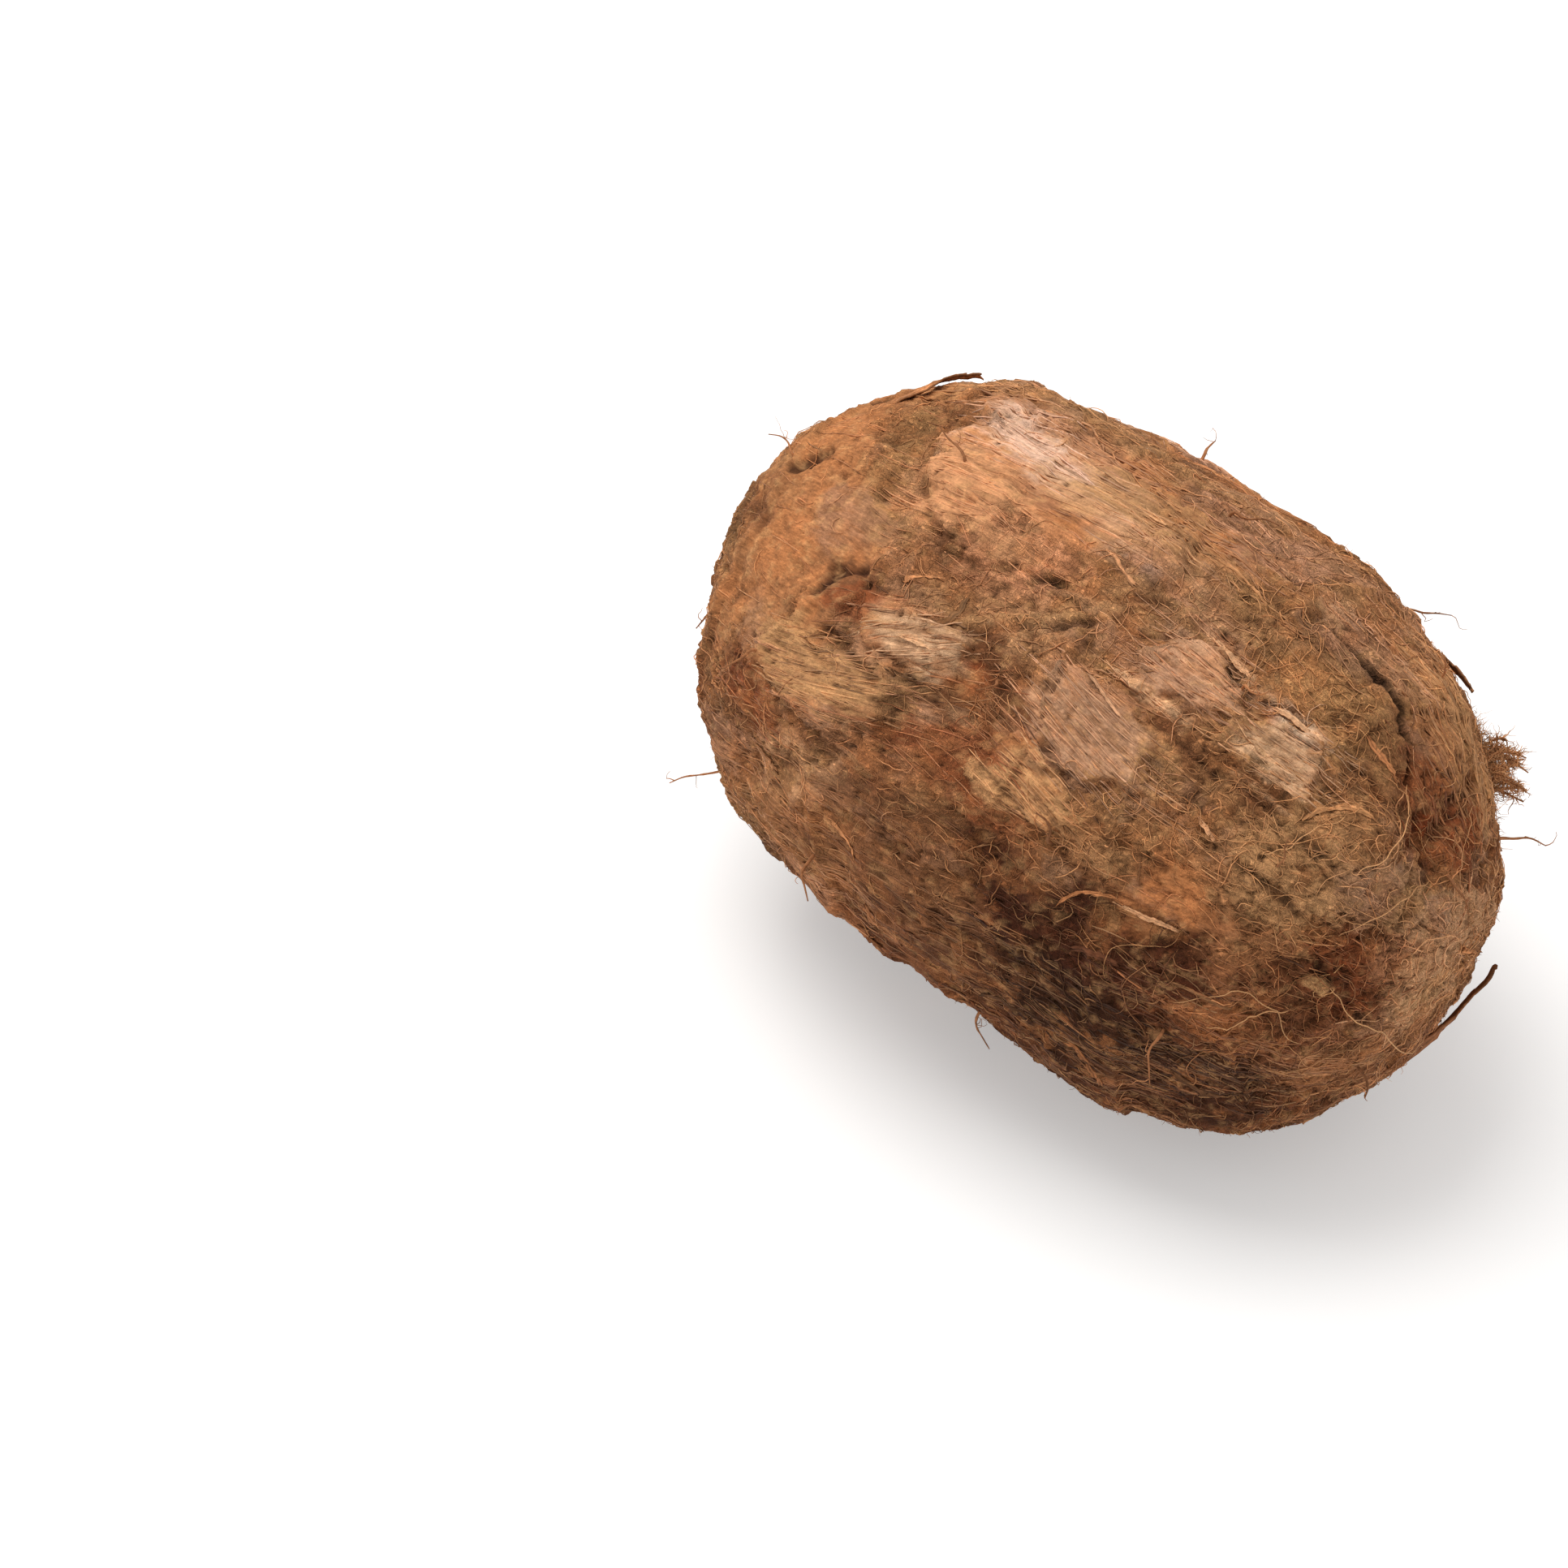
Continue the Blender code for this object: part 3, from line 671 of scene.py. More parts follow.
def plate(s, psi, mm, size, seed):
    """Torn plates of husk: each one's level (0 to 1), the cracks between them, and its number."""
    radius = 1000.0 * GRAIN_RADIUS * np.sin(s) ** 0.8
    along = 1000.0 * GRAIN_PER_RADIAN * PLATE_STRETCH * s
    drawn = np.stack([radius * np.cos(psi), radius * np.sin(psi), along], -1)
    frayed = np.stack([fractal(mm / (size * 0.8), seed + k, 4, 0.6) for k in range(3)], -1)
    first, second, owner = cells(drawn / size + 0.34 * frayed, seed)
    edge = second - first
    level = share_of(owner, 1) * 0.8 + 0.35 * (0.5 - first)
    return level * smooth(edge / 0.05 + 0.4), smooth(1.0 - edge / 0.07), owner


def mixed(colour, other, share):
    return colour + (other - colour) * share[..., None]


def colours(s, psi, mm, streaks, crumbs, straight, bare, pits, gap, plates, strokes):
    """The skin's colour, in linear light, with painted shade towards the bottom, in the split and in the
    pits, and painted shadow in the slits.
    """
    colour = np.broadcast_to(BROWN, s.shape + (3,))
    colour = mixed(colour, TAN, 0.7 * smooth(0.3 + 0.9 * fractal(mm / 24.0, 101)))
    colour = mixed(colour, OLIVE, 0.3 * smooth(0.2 + 1.2 * fractal(mm / 30.0, 103)))
    colour = mixed(colour, RED, 0.5 * smooth(0.1 + 1.3 * fractal(mm / 22.0, 107)))
    for number, (_, _, owner) in enumerate(plates):
        colour = colour * (0.88 + 0.26 * share_of(owner, 3 + number))[..., None]
        colour = mixed(colour, PINK, 0.20 * (share_of(owner, 5 + number) > 0.82))
        colour = mixed(colour, UMBER, 0.30 * (share_of(owner, 7 + number) > 0.80))
    warp = 0.40 * fractal(mm / 14.0, 109) + 0.20 * noise(mm / 2.6, 113)
    for *outline, shade, strength in PATCHES:
        reach = sheet_reach(s, psi, *outline)
        colour = mixed(colour, shade, strength * smooth((1.12 + warp - reach) / 0.40))
    for *outline, shade, strength in PLATES:
        reach = sheet_reach(s, psi, *outline)
        reach = reach + 0.26 * streaks - 0.8 * warp
        lines = 1.0 - 0.45 * smooth((-0.12 - streaks) / 0.35)
        colour = mixed(colour, shade, strength * lines * smooth((1.08 - reach) / 0.32))
    for _, crack, _ in plates:
        colour = mixed(colour, DARK, 0.35 * crack * (1.0 - 0.8 * np.maximum(straight, bare)))
    for share, shade in strokes:
        colour = mixed(colour, shade, share)
    # Painted shade: darker and redder towards the bottom, where the light from above falls off
    low = smooth((46.0 - mm[..., 2]) / 40.0)
    colour = mixed(colour, RED, 0.36 * low) * (1.0 - 0.62 * low)[..., None]
    # Blotches, streaks and crumbs
    rough = 1.0 - 0.7 * bare
    colour = mixed(colour, UMBER, 0.50 * rough * smooth((fractal(mm / 6.5, 127, 4, 0.6) - 0.2) / 0.5))
    colour = mixed(colour, ORANGE, 0.35 * smooth((fractal(mm / 9.0, 131, 4, 0.6) - 0.15) / 0.4))
    colour = mixed(colour, GOLD, 0.35 * smooth((fractal(mm / 3.4, 137, 3, 0.6) - 0.2) / 0.5))
    shade = 1.0 + 0.22 * streaks * (0.5 + 0.7 * straight)
    shade = shade + 0.20 * crumbs * (1.0 - 0.7 * np.maximum(straight, bare))
    shade *= 1.0 + 0.12 * fractal(mm / 1.6, 139, 2)
    colour = colour * np.clip(shade, 0.35, 1.7)[..., None]
    # Painted shade: the pits painted dark
    colour = mixed(colour, DARK * 0.55, 0.8 * pits)
    # Painted shade: the split painted nearly black
    colour = mixed(colour, DARK * 0.2, 0.97 * gap)
    return held(colour, BRIGHTEST_SKIN)


class Skin:
    """Looks up the surface's arrays between their rows and columns."""

    def __init__(self, arrays):
        self.arrays = arrays

    def at(self, s, psi, *names):
        row = np.clip(s / math.pi * ROWS, 0.0, ROWS - 1e-6)
        column = np.mod(psi / (2 * math.pi), 1.0) * COLUMNS
        i, j = row.astype(int), column.astype(int) % COLUMNS
        u, v = row - i, column - np.floor(column)
        k = (j + 1) % COLUMNS
        found = []
        for name in names:
            a = self.arrays[name]
            p, q = (u[..., None], v[..., None]) if a.ndim == 3 else (u, v)
            near = a[i, j] * (1 - q) + a[i, k] * q
            far = a[i + 1, j] * (1 - q) + a[i + 1, k] * q
            found.append(near * (1 - p) + far * p)
        return found


# ---- Meshes

FLOOR_GAP = 0.00005  # fibres and sheets stay this far above the floor


def new_mesh(name, points, quads, tints, material, others=(), maps=None):
    """One object. others are faces of another length, and maps holds each face corner's bake place."""
    mesh = bpy.data.meshes.new(name)
    mesh.vertices.add(len(points))
    mesh.vertices.foreach_set("co", np.asarray(points, np.float32).ravel())
    groups = [f for f in (quads, others) if len(f)]
    corners = np.concatenate([f.ravel() for f in groups])
    lengths = np.concatenate([np.full(len(f), f.shape[1]) for f in groups])
    starts = np.concatenate([[0], np.cumsum(lengths)[:-1]])
    mesh.loops.add(len(corners))
    mesh.polygons.add(len(lengths))
    mesh.polygons.foreach_set("loop_start", starts.astype(np.int32))
    mesh.polygons.foreach_set("vertices", corners.astype(np.int32))
    if maps is not None:
        layer = mesh.uv_layers.new(name="OFBake")
        layer.uv.foreach_set("vector", np.asarray(maps, np.float32).ravel())
    tint = mesh.color_attributes.new("tint", "FLOAT_COLOR", "POINT")
    shades = np.ones((len(points), 4), np.float32)
    shades[:, :3] = tints
    tint.data.foreach_set("color", shades.ravel())
    mesh.update(calc_edges=True)
    mesh.validate()
    mesh.shade_smooth()
    mesh.materials.append(material)
    obj = bpy.data.objects.new(name, mesh)
    bpy.context.scene.collection.objects.link(obj)
    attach(obj, "root")
    return obj


def skin_piece(arrays, number, material):
    """A length of the fine skin as rows of quads, closed by a fan at its pole."""
    first, last = number * ROWS // HALVES, (number + 1) * ROWS // HALVES
    s, psi = (arrays[angle][first:last + 1] for angle in ("s", "psi"))
    # The skin is painted darker where fibres cover it: a darker under-layer, and painted shade under the
    # fibres
    covered = 1.0 - np.maximum(0.75 * arrays["straight"], arrays["bare"])
    below = arrays["colour"] * (1.0 - 0.25 * covered)[..., None]
    row, column = np.meshgrid(np.arange(last - first), np.arange(COLUMNS), indexing="ij")
    after = (column + 1) % COLUMNS
    start = row * COLUMNS
    quads = np.stack([start + column, start + COLUMNS + column, start + COLUMNS + after, start + after], -1)
    ring = np.arange(COLUMNS)
    if number == 0:
        fan, quads = np.stack([ring * 0, COLUMNS + ring, COLUMNS + (ring + 1) % COLUMNS], -1), quads[1:]
    else:
        end = (last - first) * COLUMNS
        fan = np.stack([ring * 0 + end, end - COLUMNS + (ring + 1) % COLUMNS, end - COLUMNS + ring], -1)
        quads = quads[:-1]
    quads = quads.reshape(-1, 4)
    points = arrays["point"][first:last + 1].reshape(-1, 3)
    used = np.zeros(len(points), bool)
    used[quads.ravel()] = True
    used[fan.ravel()] = True
    moved = np.cumsum(used) - 1
    tints = below[first:last + 1].reshape(-1, 3)[used]
    obj = new_mesh(f"yam_skin_{number}", points[used], moved[quads], tints, material, moved[fan])
    layer = obj.data.attributes.new("grain", "FLOAT_VECTOR", "POINT")
    layer.data.foreach_set("vector", grain(s, psi).reshape(-1, 3)[used].astype(np.float32).ravel())
    layer = obj.data.attributes.new("matted", "FLOAT", "POINT")
    layer.data.foreach_set("value", covered[first:last + 1].ravel()[used].astype(np.float32))
    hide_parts("yam")


def tubes(name, points, radii, normals, tints, material, sides=3):
    """Closed tubes: points (n, k, 3), radii (n, k), normals (n, k, 3) and tints (n, k, 3)."""
    count, steps = points.shape[:2]
    along = unit(np.gradient(points, axis=1))
    side = np.cross(along, normals)
    length = np.linalg.norm(side, axis=-1, keepdims=True)
    side = np.where(length > 1e-3, side / np.maximum(length, 1e-9), np.cross(along, [0.6, 0.5, 0.62]))
    side = unit(side)
    top = np.cross(side, along)
    turns = np.arange(sides) * 2 * math.pi / sides + math.pi / 2
    ring = np.cos(turns)[:, None] * side[:, :, None] + np.sin(turns)[:, None] * top[:, :, None]
    corners = points[:, :, None] + ring * radii[:, :, None, None]
    corners[..., 2] = np.maximum(corners[..., 2], FLOOR_GAP)
    index = np.arange(count * steps * sides).reshape(count, steps, sides)
    after = np.roll(index, -1, 2)
    quads = np.stack([index[:, :-1], index[:, 1:], after[:, 1:], after[:, :-1]], -1).reshape(-1, 4)
    caps = np.stack([index[:, 0], index[:, -1][:, ::-1]], 1).reshape(-1, sides)
    shades = np.repeat(tints[:, :, None], sides, 2).reshape(-1, 3)
    maps = tube_maps(count, steps, sides)
    new_mesh(name, corners.reshape(-1, 3), quads, shades, material, caps, maps)


def tube_maps(count, steps, sides):
    """Bake places: a cell of the image for each tube, laid open, with its caps at the cell's two ends."""
    wide = max(1, int(math.sqrt(count) / 2))
    high = math.ceil(count / wide)
    cell_u, cell_v = np.arange(count) % wide, np.arange(count) // wide
    k, j = np.meshgrid(np.arange(steps - 1), np.arange(sides), indexing="ij")
    u = np.stack([k, k + 1, k + 1, k], -1) / (steps - 1)
    v = np.stack([j, j, j + 1, j + 1], -1) / sides
    body = np.stack([0.06 + 0.88 * u, 0.08 + 0.84 * v], -1)
    body = np.broadcast_to(body.reshape(1, -1, 2), (count, (steps - 1) * sides * 4, 2))
    turns = np.arange(sides) * 2 * math.pi / sides
    disc = np.stack([0.5 + 0.5 * np.cos(turns), 0.5 + 0.5 * np.sin(turns)], -1)
    cap = np.stack([disc * (0.03, 0.5) + (0.01, 0.25), disc * (0.03, 0.5) + (0.96, 0.25)])
    cap = np.broadcast_to(cap.reshape(1, -1, 2), (count, 2 * sides, 2))
    scale = np.array([1.0 / wide, 1.0 / high])
    corner = np.stack([cell_u, cell_v], -1)[:, None]
    return np.concatenate([((part + corner) * scale).reshape(-1, 2) for part in (body, cap)])


# ---- Fibres

HAIR_SUNK = 0.0004
NEAR_POLE = 0.03  # paths along the skin stay this angle away from its two ends


def drift(s, psi):
    """Radians by which the husk's grain runs aslant."""
    dirs = direction(s, psi)
    return sum(turn * bump(dirs, at, round_at, wide) for at, round_at, wide, turn in DRIFTS)


def spread(rng, count, weight):
    """Places (s, psi), evenly over the tuber apart from weight, a function of arrays s and psi."""
    s, psi = np.zeros(0), np.zeros(0)
    while len(s) < count:
        try_s = np.arccos(1.0 - 2.0 * rng.random(count))
        try_psi = rng.random(count) * 2 * math.pi
        keep = rng.random(count) < weight(try_s, try_psi)
        s, psi = np.append(s, try_s[keep]), np.append(psi, try_psi[keep])
    return s[:count], psi[:count]


def lay(rng, surface_skin, s, psi, heading, length, steps, curl, rise):
    """Paths over the skin: points and normals (n, steps, 3), and colours (n, 3) where they start.

    rise gives each path's height over the skin at a share (0 to 1) of its length."""
    s, psi, heading = s.copy(), psi.copy(), heading.copy()
    turn, crossed = np.zeros(len(s)), np.zeros(len(s))
    step = length / (steps - 1)
    points, normals = [], []
    colour = surface_skin.at(s, psi, "colour")[0]
    for k in range(steps):
        point, normal, reach_s, reach_psi, gap = surface_skin.at(
            s, psi, "point", "normal", "reach_s", "reach_psi", "gap"
        )
        crossed = np.maximum(crossed, gap)
        normal = unit(normal)
        points.append(point + normal * rise(k / (steps - 1))[:, None])
        normals.append(normal)
        turn = 0.6 * turn + curl * rng.standard_normal(len(s))
        heading = heading + turn
        s = np.clip(s + step * np.cos(heading) / reach_s, NEAR_POLE, math.pi - NEAR_POLE)
        psi = psi + step * np.sin(heading) / reach_psi
    return np.stack(points, 1), np.stack(normals, 1), colour, crossed < 0.2


def toned(rng, colour, low, high, golden=0.0):
    """Colours of fibres: that of the skin below each, lighter or darker, and some of them golden.

    Fibres on dark husk stay dark."""
    tone = np.exp(rng.uniform(math.log(low), math.log(high), len(colour)))[:, None]
    share = golden * rng.random(len(colour))
    share = (share * np.clip(colour.mean(-1) / 0.08, 0.2, 1.0))[:, None]
    return held((colour * (1 - share) + GOLD * share) * tone)


def along_tint(rng, tint, steps):
    """Tints (n, steps, 3): each fibre a little darker at its ends."""
    share = np.linspace(0.0, 1.0, steps)
    shade = 0.72 + 0.28 * np.sin(math.pi * share) ** 0.5
    wobble = 1.0 + 0.10 * rng.standard_normal((len(tint), steps))
    return held(tint[:, None] * (shade * wobble)[..., None])


def taper(radius, steps, tip):
    """Radii (n, steps) that fall to a share tip at both ends."""
    share = np.linspace(0.0, 1.0, steps)
    return radius[:, None] * (tip + (1 - tip) * np.sin(math.pi * share) ** 0.5)


def fibres(name, rng, sk, count, weight, material, length, steps, radius, curl, lift, turned, tones, golden):
    """A piece of fibres. turned is how far they may lie off the tuber's length, in radians."""
    s, psi = spread(rng, count, weight)
    heading = rng.uniform(-turned, turned, count) + math.pi * (rng.random(count) < 0.5) + drift(s, psi)
    size = rng.uniform(*length, count)
    high = rng.uniform(*lift, count)
    thick = rng.uniform(*radius, count)
    waver = rng.random(count) * 6.0

    def rise(share):
        arch = math.sin(math.pi * share) ** 0.5
        return high * arch * (0.75 + 0.25 * np.sin(9.0 * share + waver)) - thick * 0.6 * (1.0 - arch)

    points, normals, colour, clear = lay(rng, sk, s, psi, heading, size, steps, curl, rise)
    tint = along_tint(rng, toned(rng, colour, *tones, golden), steps)
    radii = taper(thick, steps, 0.35)
    tubes(name, points[clear], radii[clear], normals[clear], tint[clear], material)


def grown(rng, start, heading, size, steps, wander):
    """Paths (n, steps, 3) of hairs that wander off their heading."""
    points = [start]
    for _ in range(steps - 1):
        points.append(points[-1] + heading * size / (steps - 1))
        heading = unit(heading + wander * rng.standard_normal(heading.shape))
    return np.stack(points, 1)


def fuzz(name, rng, sk, count, weight, material, length, radius):
    """Short hairs that stand off the skin and curl over."""
    steps = 5
    s, psi = spread(rng, count, weight)
    base, normal, colour = sk.at(s, psi, "point", "normal", "colour")
    heading = rng.standard_normal((count, 3))
    heading -= normal * (heading * normal).sum(-1, keepdims=True)
    heading = unit(unit(heading) * rng.uniform(0.5, 1.6, (count, 1)) + normal)
    size = rng.uniform(*length, count)[:, None]
    points = grown(rng, base - normal * HAIR_SUNK, heading, size, steps, 0.45)
    thick = rng.uniform(*radius, count)
    radii = thick[:, None] * np.linspace(1.0, 0.3, steps)
    tint = along_tint(rng, toned(rng, colour, 0.6, 1.5, 0.5), steps)
    tubes(name, points, radii, np.repeat(normal[:, None], steps, 1), tint, material)


# ---- Rootlets, the tuft and the strips, where the solid has them


def place(s_deg, psi_deg):
    step = np.radians(1.5)
    s, psi = np.radians(s_deg), np.radians(psi_deg)
    at = np.array([s, s - step, s + step, s, s])
    round_at = np.array([psi, psi, psi, psi - step, psi + step])
    middle, near, far, one, other = (Vector(p) for p in skin(at, round_at))
    along = (near - far).normalized()
    out = (other - one).cross(along).normalized()
    if out.dot(middle - Vector((0, 0, AXIS_HEIGHT))) < 0:
        out.negate()
    return middle, out, along


def rootlet(s_deg, psi_deg, length, lean, rng):
    base, out, _ = place(s_deg, psi_deg)
    heading = (out + lean * 0.8).normalized()
    points = [base - out * ROOT_SUNK, base + heading * length * 0.12]
    step = length * 0.88 / 3
    for _ in range(3):
        curl = Vector((rng.uniform(-1, 1), rng.uniform(-1, 1), rng.uniform(-1.0, 0.4)))
        heading = (heading + curl * 0.55).normalized()
        if heading.dot(out) < 0.25:
            heading = (heading + out * 0.6).normalized()
        points.append(points[-1] + heading * step)
    return points


def sideways(out, rng):
    wild = Vector((rng.uniform(-1, 1), rng.uniform(-1, 1), rng.uniform(-1, 1)))
    return (wild - out * wild.dot(out)).normalized()


def is_on_strip(s_deg, psi_deg):
    here = place(s_deg, psi_deg)[0]
    taken = [place(*end)[0] for start, finish, _, _ in STRIPS for end in (start, finish)]
    taken.append(place(*TUFT)[0])
    return any((here - spot).length < 0.012 for spot in taken)


def stray_roots():
    rng = random.Random(ROOT_SEED)
    golden = math.degrees(math.pi * (3.0 - math.sqrt(5.0)))
    paths = []
    for k in range(STRAY_ROOTS):
        s_deg = math.degrees(math.acos(1.0 - 2.0 * (k + 0.5) / STRAY_ROOTS))
        psi_deg = k * golden + rng.uniform(-8, 8)
        base, out, _ = place(s_deg, psi_deg)
        length = rng.uniform(*STRAY_LENGTH)
        if base.z < LEAST_ROOT_HEIGHT or is_on_strip(s_deg, psi_deg):
            continue
        paths.append(rootlet(s_deg, psi_deg, length, sideways(out, rng), rng))
    return paths


def root_tuft():
    rng = random.Random(ROOT_SEED + 1)
    paths = []
    for k in range(TUFT_ROOTS):
        turn, reach = k * 2.4, TUFT_SPREAD * math.sqrt((k + 0.5) / TUFT_ROOTS)
        s_deg = TUFT[0] + reach * math.cos(turn)
        psi_deg = TUFT[1] + reach * math.sin(turn) / math.sin(math.radians(TUFT[0]))
        _, out, _ = place(s_deg, psi_deg)
        lean = sideways(out, rng) * 0.5 + Vector((0, 0, 0.25))
        paths.append(rootlet(s_deg, psi_deg, rng.uniform(*TUFT_LENGTH), lean, rng))
    return paths


def curved(paths, steps):
    """Paths of five points as smooth ones of more (n, steps, 3)."""
    given = np.array([[tuple(p) for p in path] for path in paths])
    before, after = given[:, :1] * 2 - given[:, 1:2], given[:, -1:] * 2 - given[:, -2:-1]
    padded = np.concatenate([before, given, after], 1)
    share = np.linspace(0.0, given.shape[1] - 1 - 1e-9, steps)
    first = share.astype(int)
    t = (share - first)[None, :, None]
    a, b, c, d = (padded[:, first + k] for k in range(4))
    return 0.5 * (2 * b + (c - a) * t + (2 * a - 5 * b + 4 * c - d) * t**2 + (3 * b - a - 3 * c + d) * t**3)


def root_piece(name, paths, shade, size, material):
    steps = 15
    points = curved(paths, steps)
    rng = np.random.default_rng(5)
    radii = np.linspace(ROOT_RADIUS, TIP_RADIUS * 0.55, steps)[None]
    radii = radii * rng.uniform(0.75, 1.1, (len(paths), 1)) * size
    radii = radii * (1.0 + 0.10 * rng.standard_normal(radii.shape))
    side = np.cross(points[:, -1] - points[:, 0], (0.3, 0.4, 0.86))
    normals = unit(np.repeat(side[:, None], steps, 1))
    tint = np.broadcast_to(shade, points.shape) * rng.uniform(0.6, 1.3, (len(paths), 1, 1))
    tint = tint * np.linspace(1.1, 0.8, steps)[None, :, None]
    tubes(name, points, radii, normals, tint, material, sides=6)


def hair_on(name, rng, paths, per_path, shade, material, reach, length, radius):
    """Fine branches on rootlets, between the two steps of twelve in reach."""
    steps = 6
    given = curved(paths, 12)
    which = np.repeat(np.arange(len(paths)), per_path)
    at = rng.integers(*reach, len(which))
    heading = rng.standard_normal((len(which), 3)) + 0.8 * (given[which, -1] - given[which, 0]) / 0.01
    size = rng.uniform(*length, len(which))[:, None]
    points = grown(rng, given[which, at], unit(heading), size, steps, 0.6)
    radii = rng.uniform(*radius, len(which))[:, None] * np.linspace(1.0, 0.35, steps)
    normals = np.repeat(rng.standard_normal((len(which), 1, 3)), steps, 1)
    tint = np.broadcast_to(shade, points.shape) * rng.uniform(0.6, 1.5, (len(which), 1, 1))
    tubes(name, points, radii, normals, held(tint), material)


# ---- Flaps of husk

FLAP_ROWS, FLAP_COLUMNS = 16, 7
FLAP_HEIGHT = 0.00018
STRIP_ROWS, STRIP_COLUMNS = 34, 11
THREAD_STEPS = 28


def flaps(name, rng, sk, s, psi, heading, length, width, lift, tint, material, thick=0.00028):
    """Thin sheets that lie along the skin with frayed ends and one lifted edge."""
    count, a, b = len(s), FLAP_ROWS, FLAP_COLUMNS
    share = np.linspace(0.0, 1.0, a)
    offset = np.linspace(-0.5, 0.5, b)
    fray = rng.uniform(-1.0, 1.0, (count, 2, b)) * 0.10
    path_s, path_psi = np.zeros((count, a)), np.zeros((count, a))
    path_s[:, 0], path_psi[:, 0] = s, psi
    turn = rng.standard_normal(count) * 0.04
    headings = [heading]
    for k in range(1, a):
        reach_s, reach_psi = sk.at(path_s[:, k - 1], path_psi[:, k - 1], "reach_s", "reach_psi")
        step = length / (a - 1)
        forward = path_s[:, k - 1] + step * np.cos(headings[-1]) / reach_s
        path_s[:, k] = np.clip(forward, 0.04, math.pi - 0.04)
        path_psi[:, k] = path_psi[:, k - 1] + step * np.sin(headings[-1]) / reach_psi
        headings.append(headings[-1] + turn + 0.03 * rng.standard_normal(count))
    headings = np.stack(headings, 1)
    reach_s, reach_psi = sk.at(path_s, path_psi, "reach_s", "reach_psi")
    profile = np.clip(np.sin(math.pi * (0.04 + 0.92 * share)), 0.0, 1.0) ** 0.22
    ragged = 1.0 + 0.18 * rng.standard_normal((count, a))
    across = offset[None, None] * (width[:, None] * profile * ragged)[..., None]
    start, end = np.clip(1.0 - share / 0.25, 0.0, 1.0), np.clip((share - 0.75) / 0.25, 0.0, 1.0)
    push = start[None, :, None] * fray[:, 0, None] + end[None, :, None] * fray[:, 1, None]
    push = push * length[:, None, None]
    cos, sin = np.cos(headings)[..., None], np.sin(headings)[..., None]
    at_s = path_s[..., None] + (-across * sin + push * cos) / reach_s[..., None]
    at_psi = path_psi[..., None] + (across * cos + push * sin) / reach_psi[..., None]
    at_s = np.clip(at_s, NEAR_POLE, math.pi - NEAR_POLE)
    point, normal = sk.at(at_s, at_psi, "point", "normal")
    normal = unit(normal)
    rise = 0.6 * (offset + 0.5)[None, None] ** 2 + 0.7 * share[None, :, None] ** 3
    high = FLAP_HEIGHT + lift[:, None, None] * rise
    high = np.maximum(high + 0.00012 * rng.standard_normal((count, a, b)), 0.0)
    thin_sheets(name, rng, point + normal * high[..., None], normal, thick, tint, material)


def thin_sheets(name, rng, top, normal, thick, tint, material):
    """Closed thin sheets from their upper sides (n, a, b, 3)."""
    count, a, b = top.shape[:3]
    corners = np.stack([top, top - normal * thick], 1)
    corners[..., 2] = np.maximum(corners[..., 2], FLOOR_GAP)
    index = np.arange(count * 2 * a * b).reshape(count, 2, a, b)
    upper, lower = index[:, 0], index[:, 1]
    faces = [
        np.stack([upper[:, :-1, :-1], upper[:, 1:, :-1], upper[:, 1:, 1:], upper[:, :-1, 1:]], -1),
        np.stack([lower[:, :-1, :-1], lower[:, :-1, 1:], lower[:, 1:, 1:], lower[:, 1:, :-1]], -1),
        np.stack([upper[:, :-1, 0], lower[:, :-1, 0], lower[:, 1:, 0], upper[:, 1:, 0]], -1),
        np.stack([upper[:, :-1, -1], upper[:, 1:, -1], lower[:, 1:, -1], lower[:, :-1, -1]], -1),
        np.stack([upper[:, 0, :-1], upper[:, 0, 1:], lower[:, 0, 1:], lower[:, 0, :-1]], -1),
        np.stack([upper[:, -1, :-1], lower[:, -1, :-1], lower[:, -1, 1:], upper[:, -1, 1:]], -1),
    ]
    joined = np.concatenate([f.reshape(count, -1, 4) for f in faces], 1).reshape(-1, 4)
    streak = 1.0 + 0.24 * rng.standard_normal((count, 1, 1, b))
    streak = streak + 0.08 * rng.standard_normal((count, 1, a, b))
    streak = streak * (1.0 + 0.15 * np.stack([uneven_line(rng, a) for _ in range(count)])[:, None, :, None])
    # The lower side is painted a quarter darker than the upper: painted shade under the sheets
    shade = tint[:, None, None, None] * streak[..., None] * np.array([1.0, 0.75])[None, :, None, None, None]
    shade = held(np.broadcast_to(shade, corners.shape))
    new_mesh(name, corners.reshape(-1, 3), joined, shade.reshape(-1, 3), material)


def route(places, steps):
    """Angles s and psi in radians, evenly along a line through places in degrees."""
    places = np.radians(np.array(places, float))
    share = np.linspace(0.0, len(places) - 1, steps)
    return [np.interp(share, np.arange(len(places)), places[:, k]) for k in (0, 1)]


def along_route(places, steps):
    """Points, normals and directions of a line along the plain skin."""
    s, psi = route(places, steps)
    found = [place(math.degrees(a), math.degrees(b)) for a, b in zip(s, psi)]
    points = np.array([tuple(p) for p, _, _ in found])
    normals = np.array([tuple(n) for _, n, _ in found])
    ways = np.gradient(points, axis=0)
    return points, normals, unit(ways)


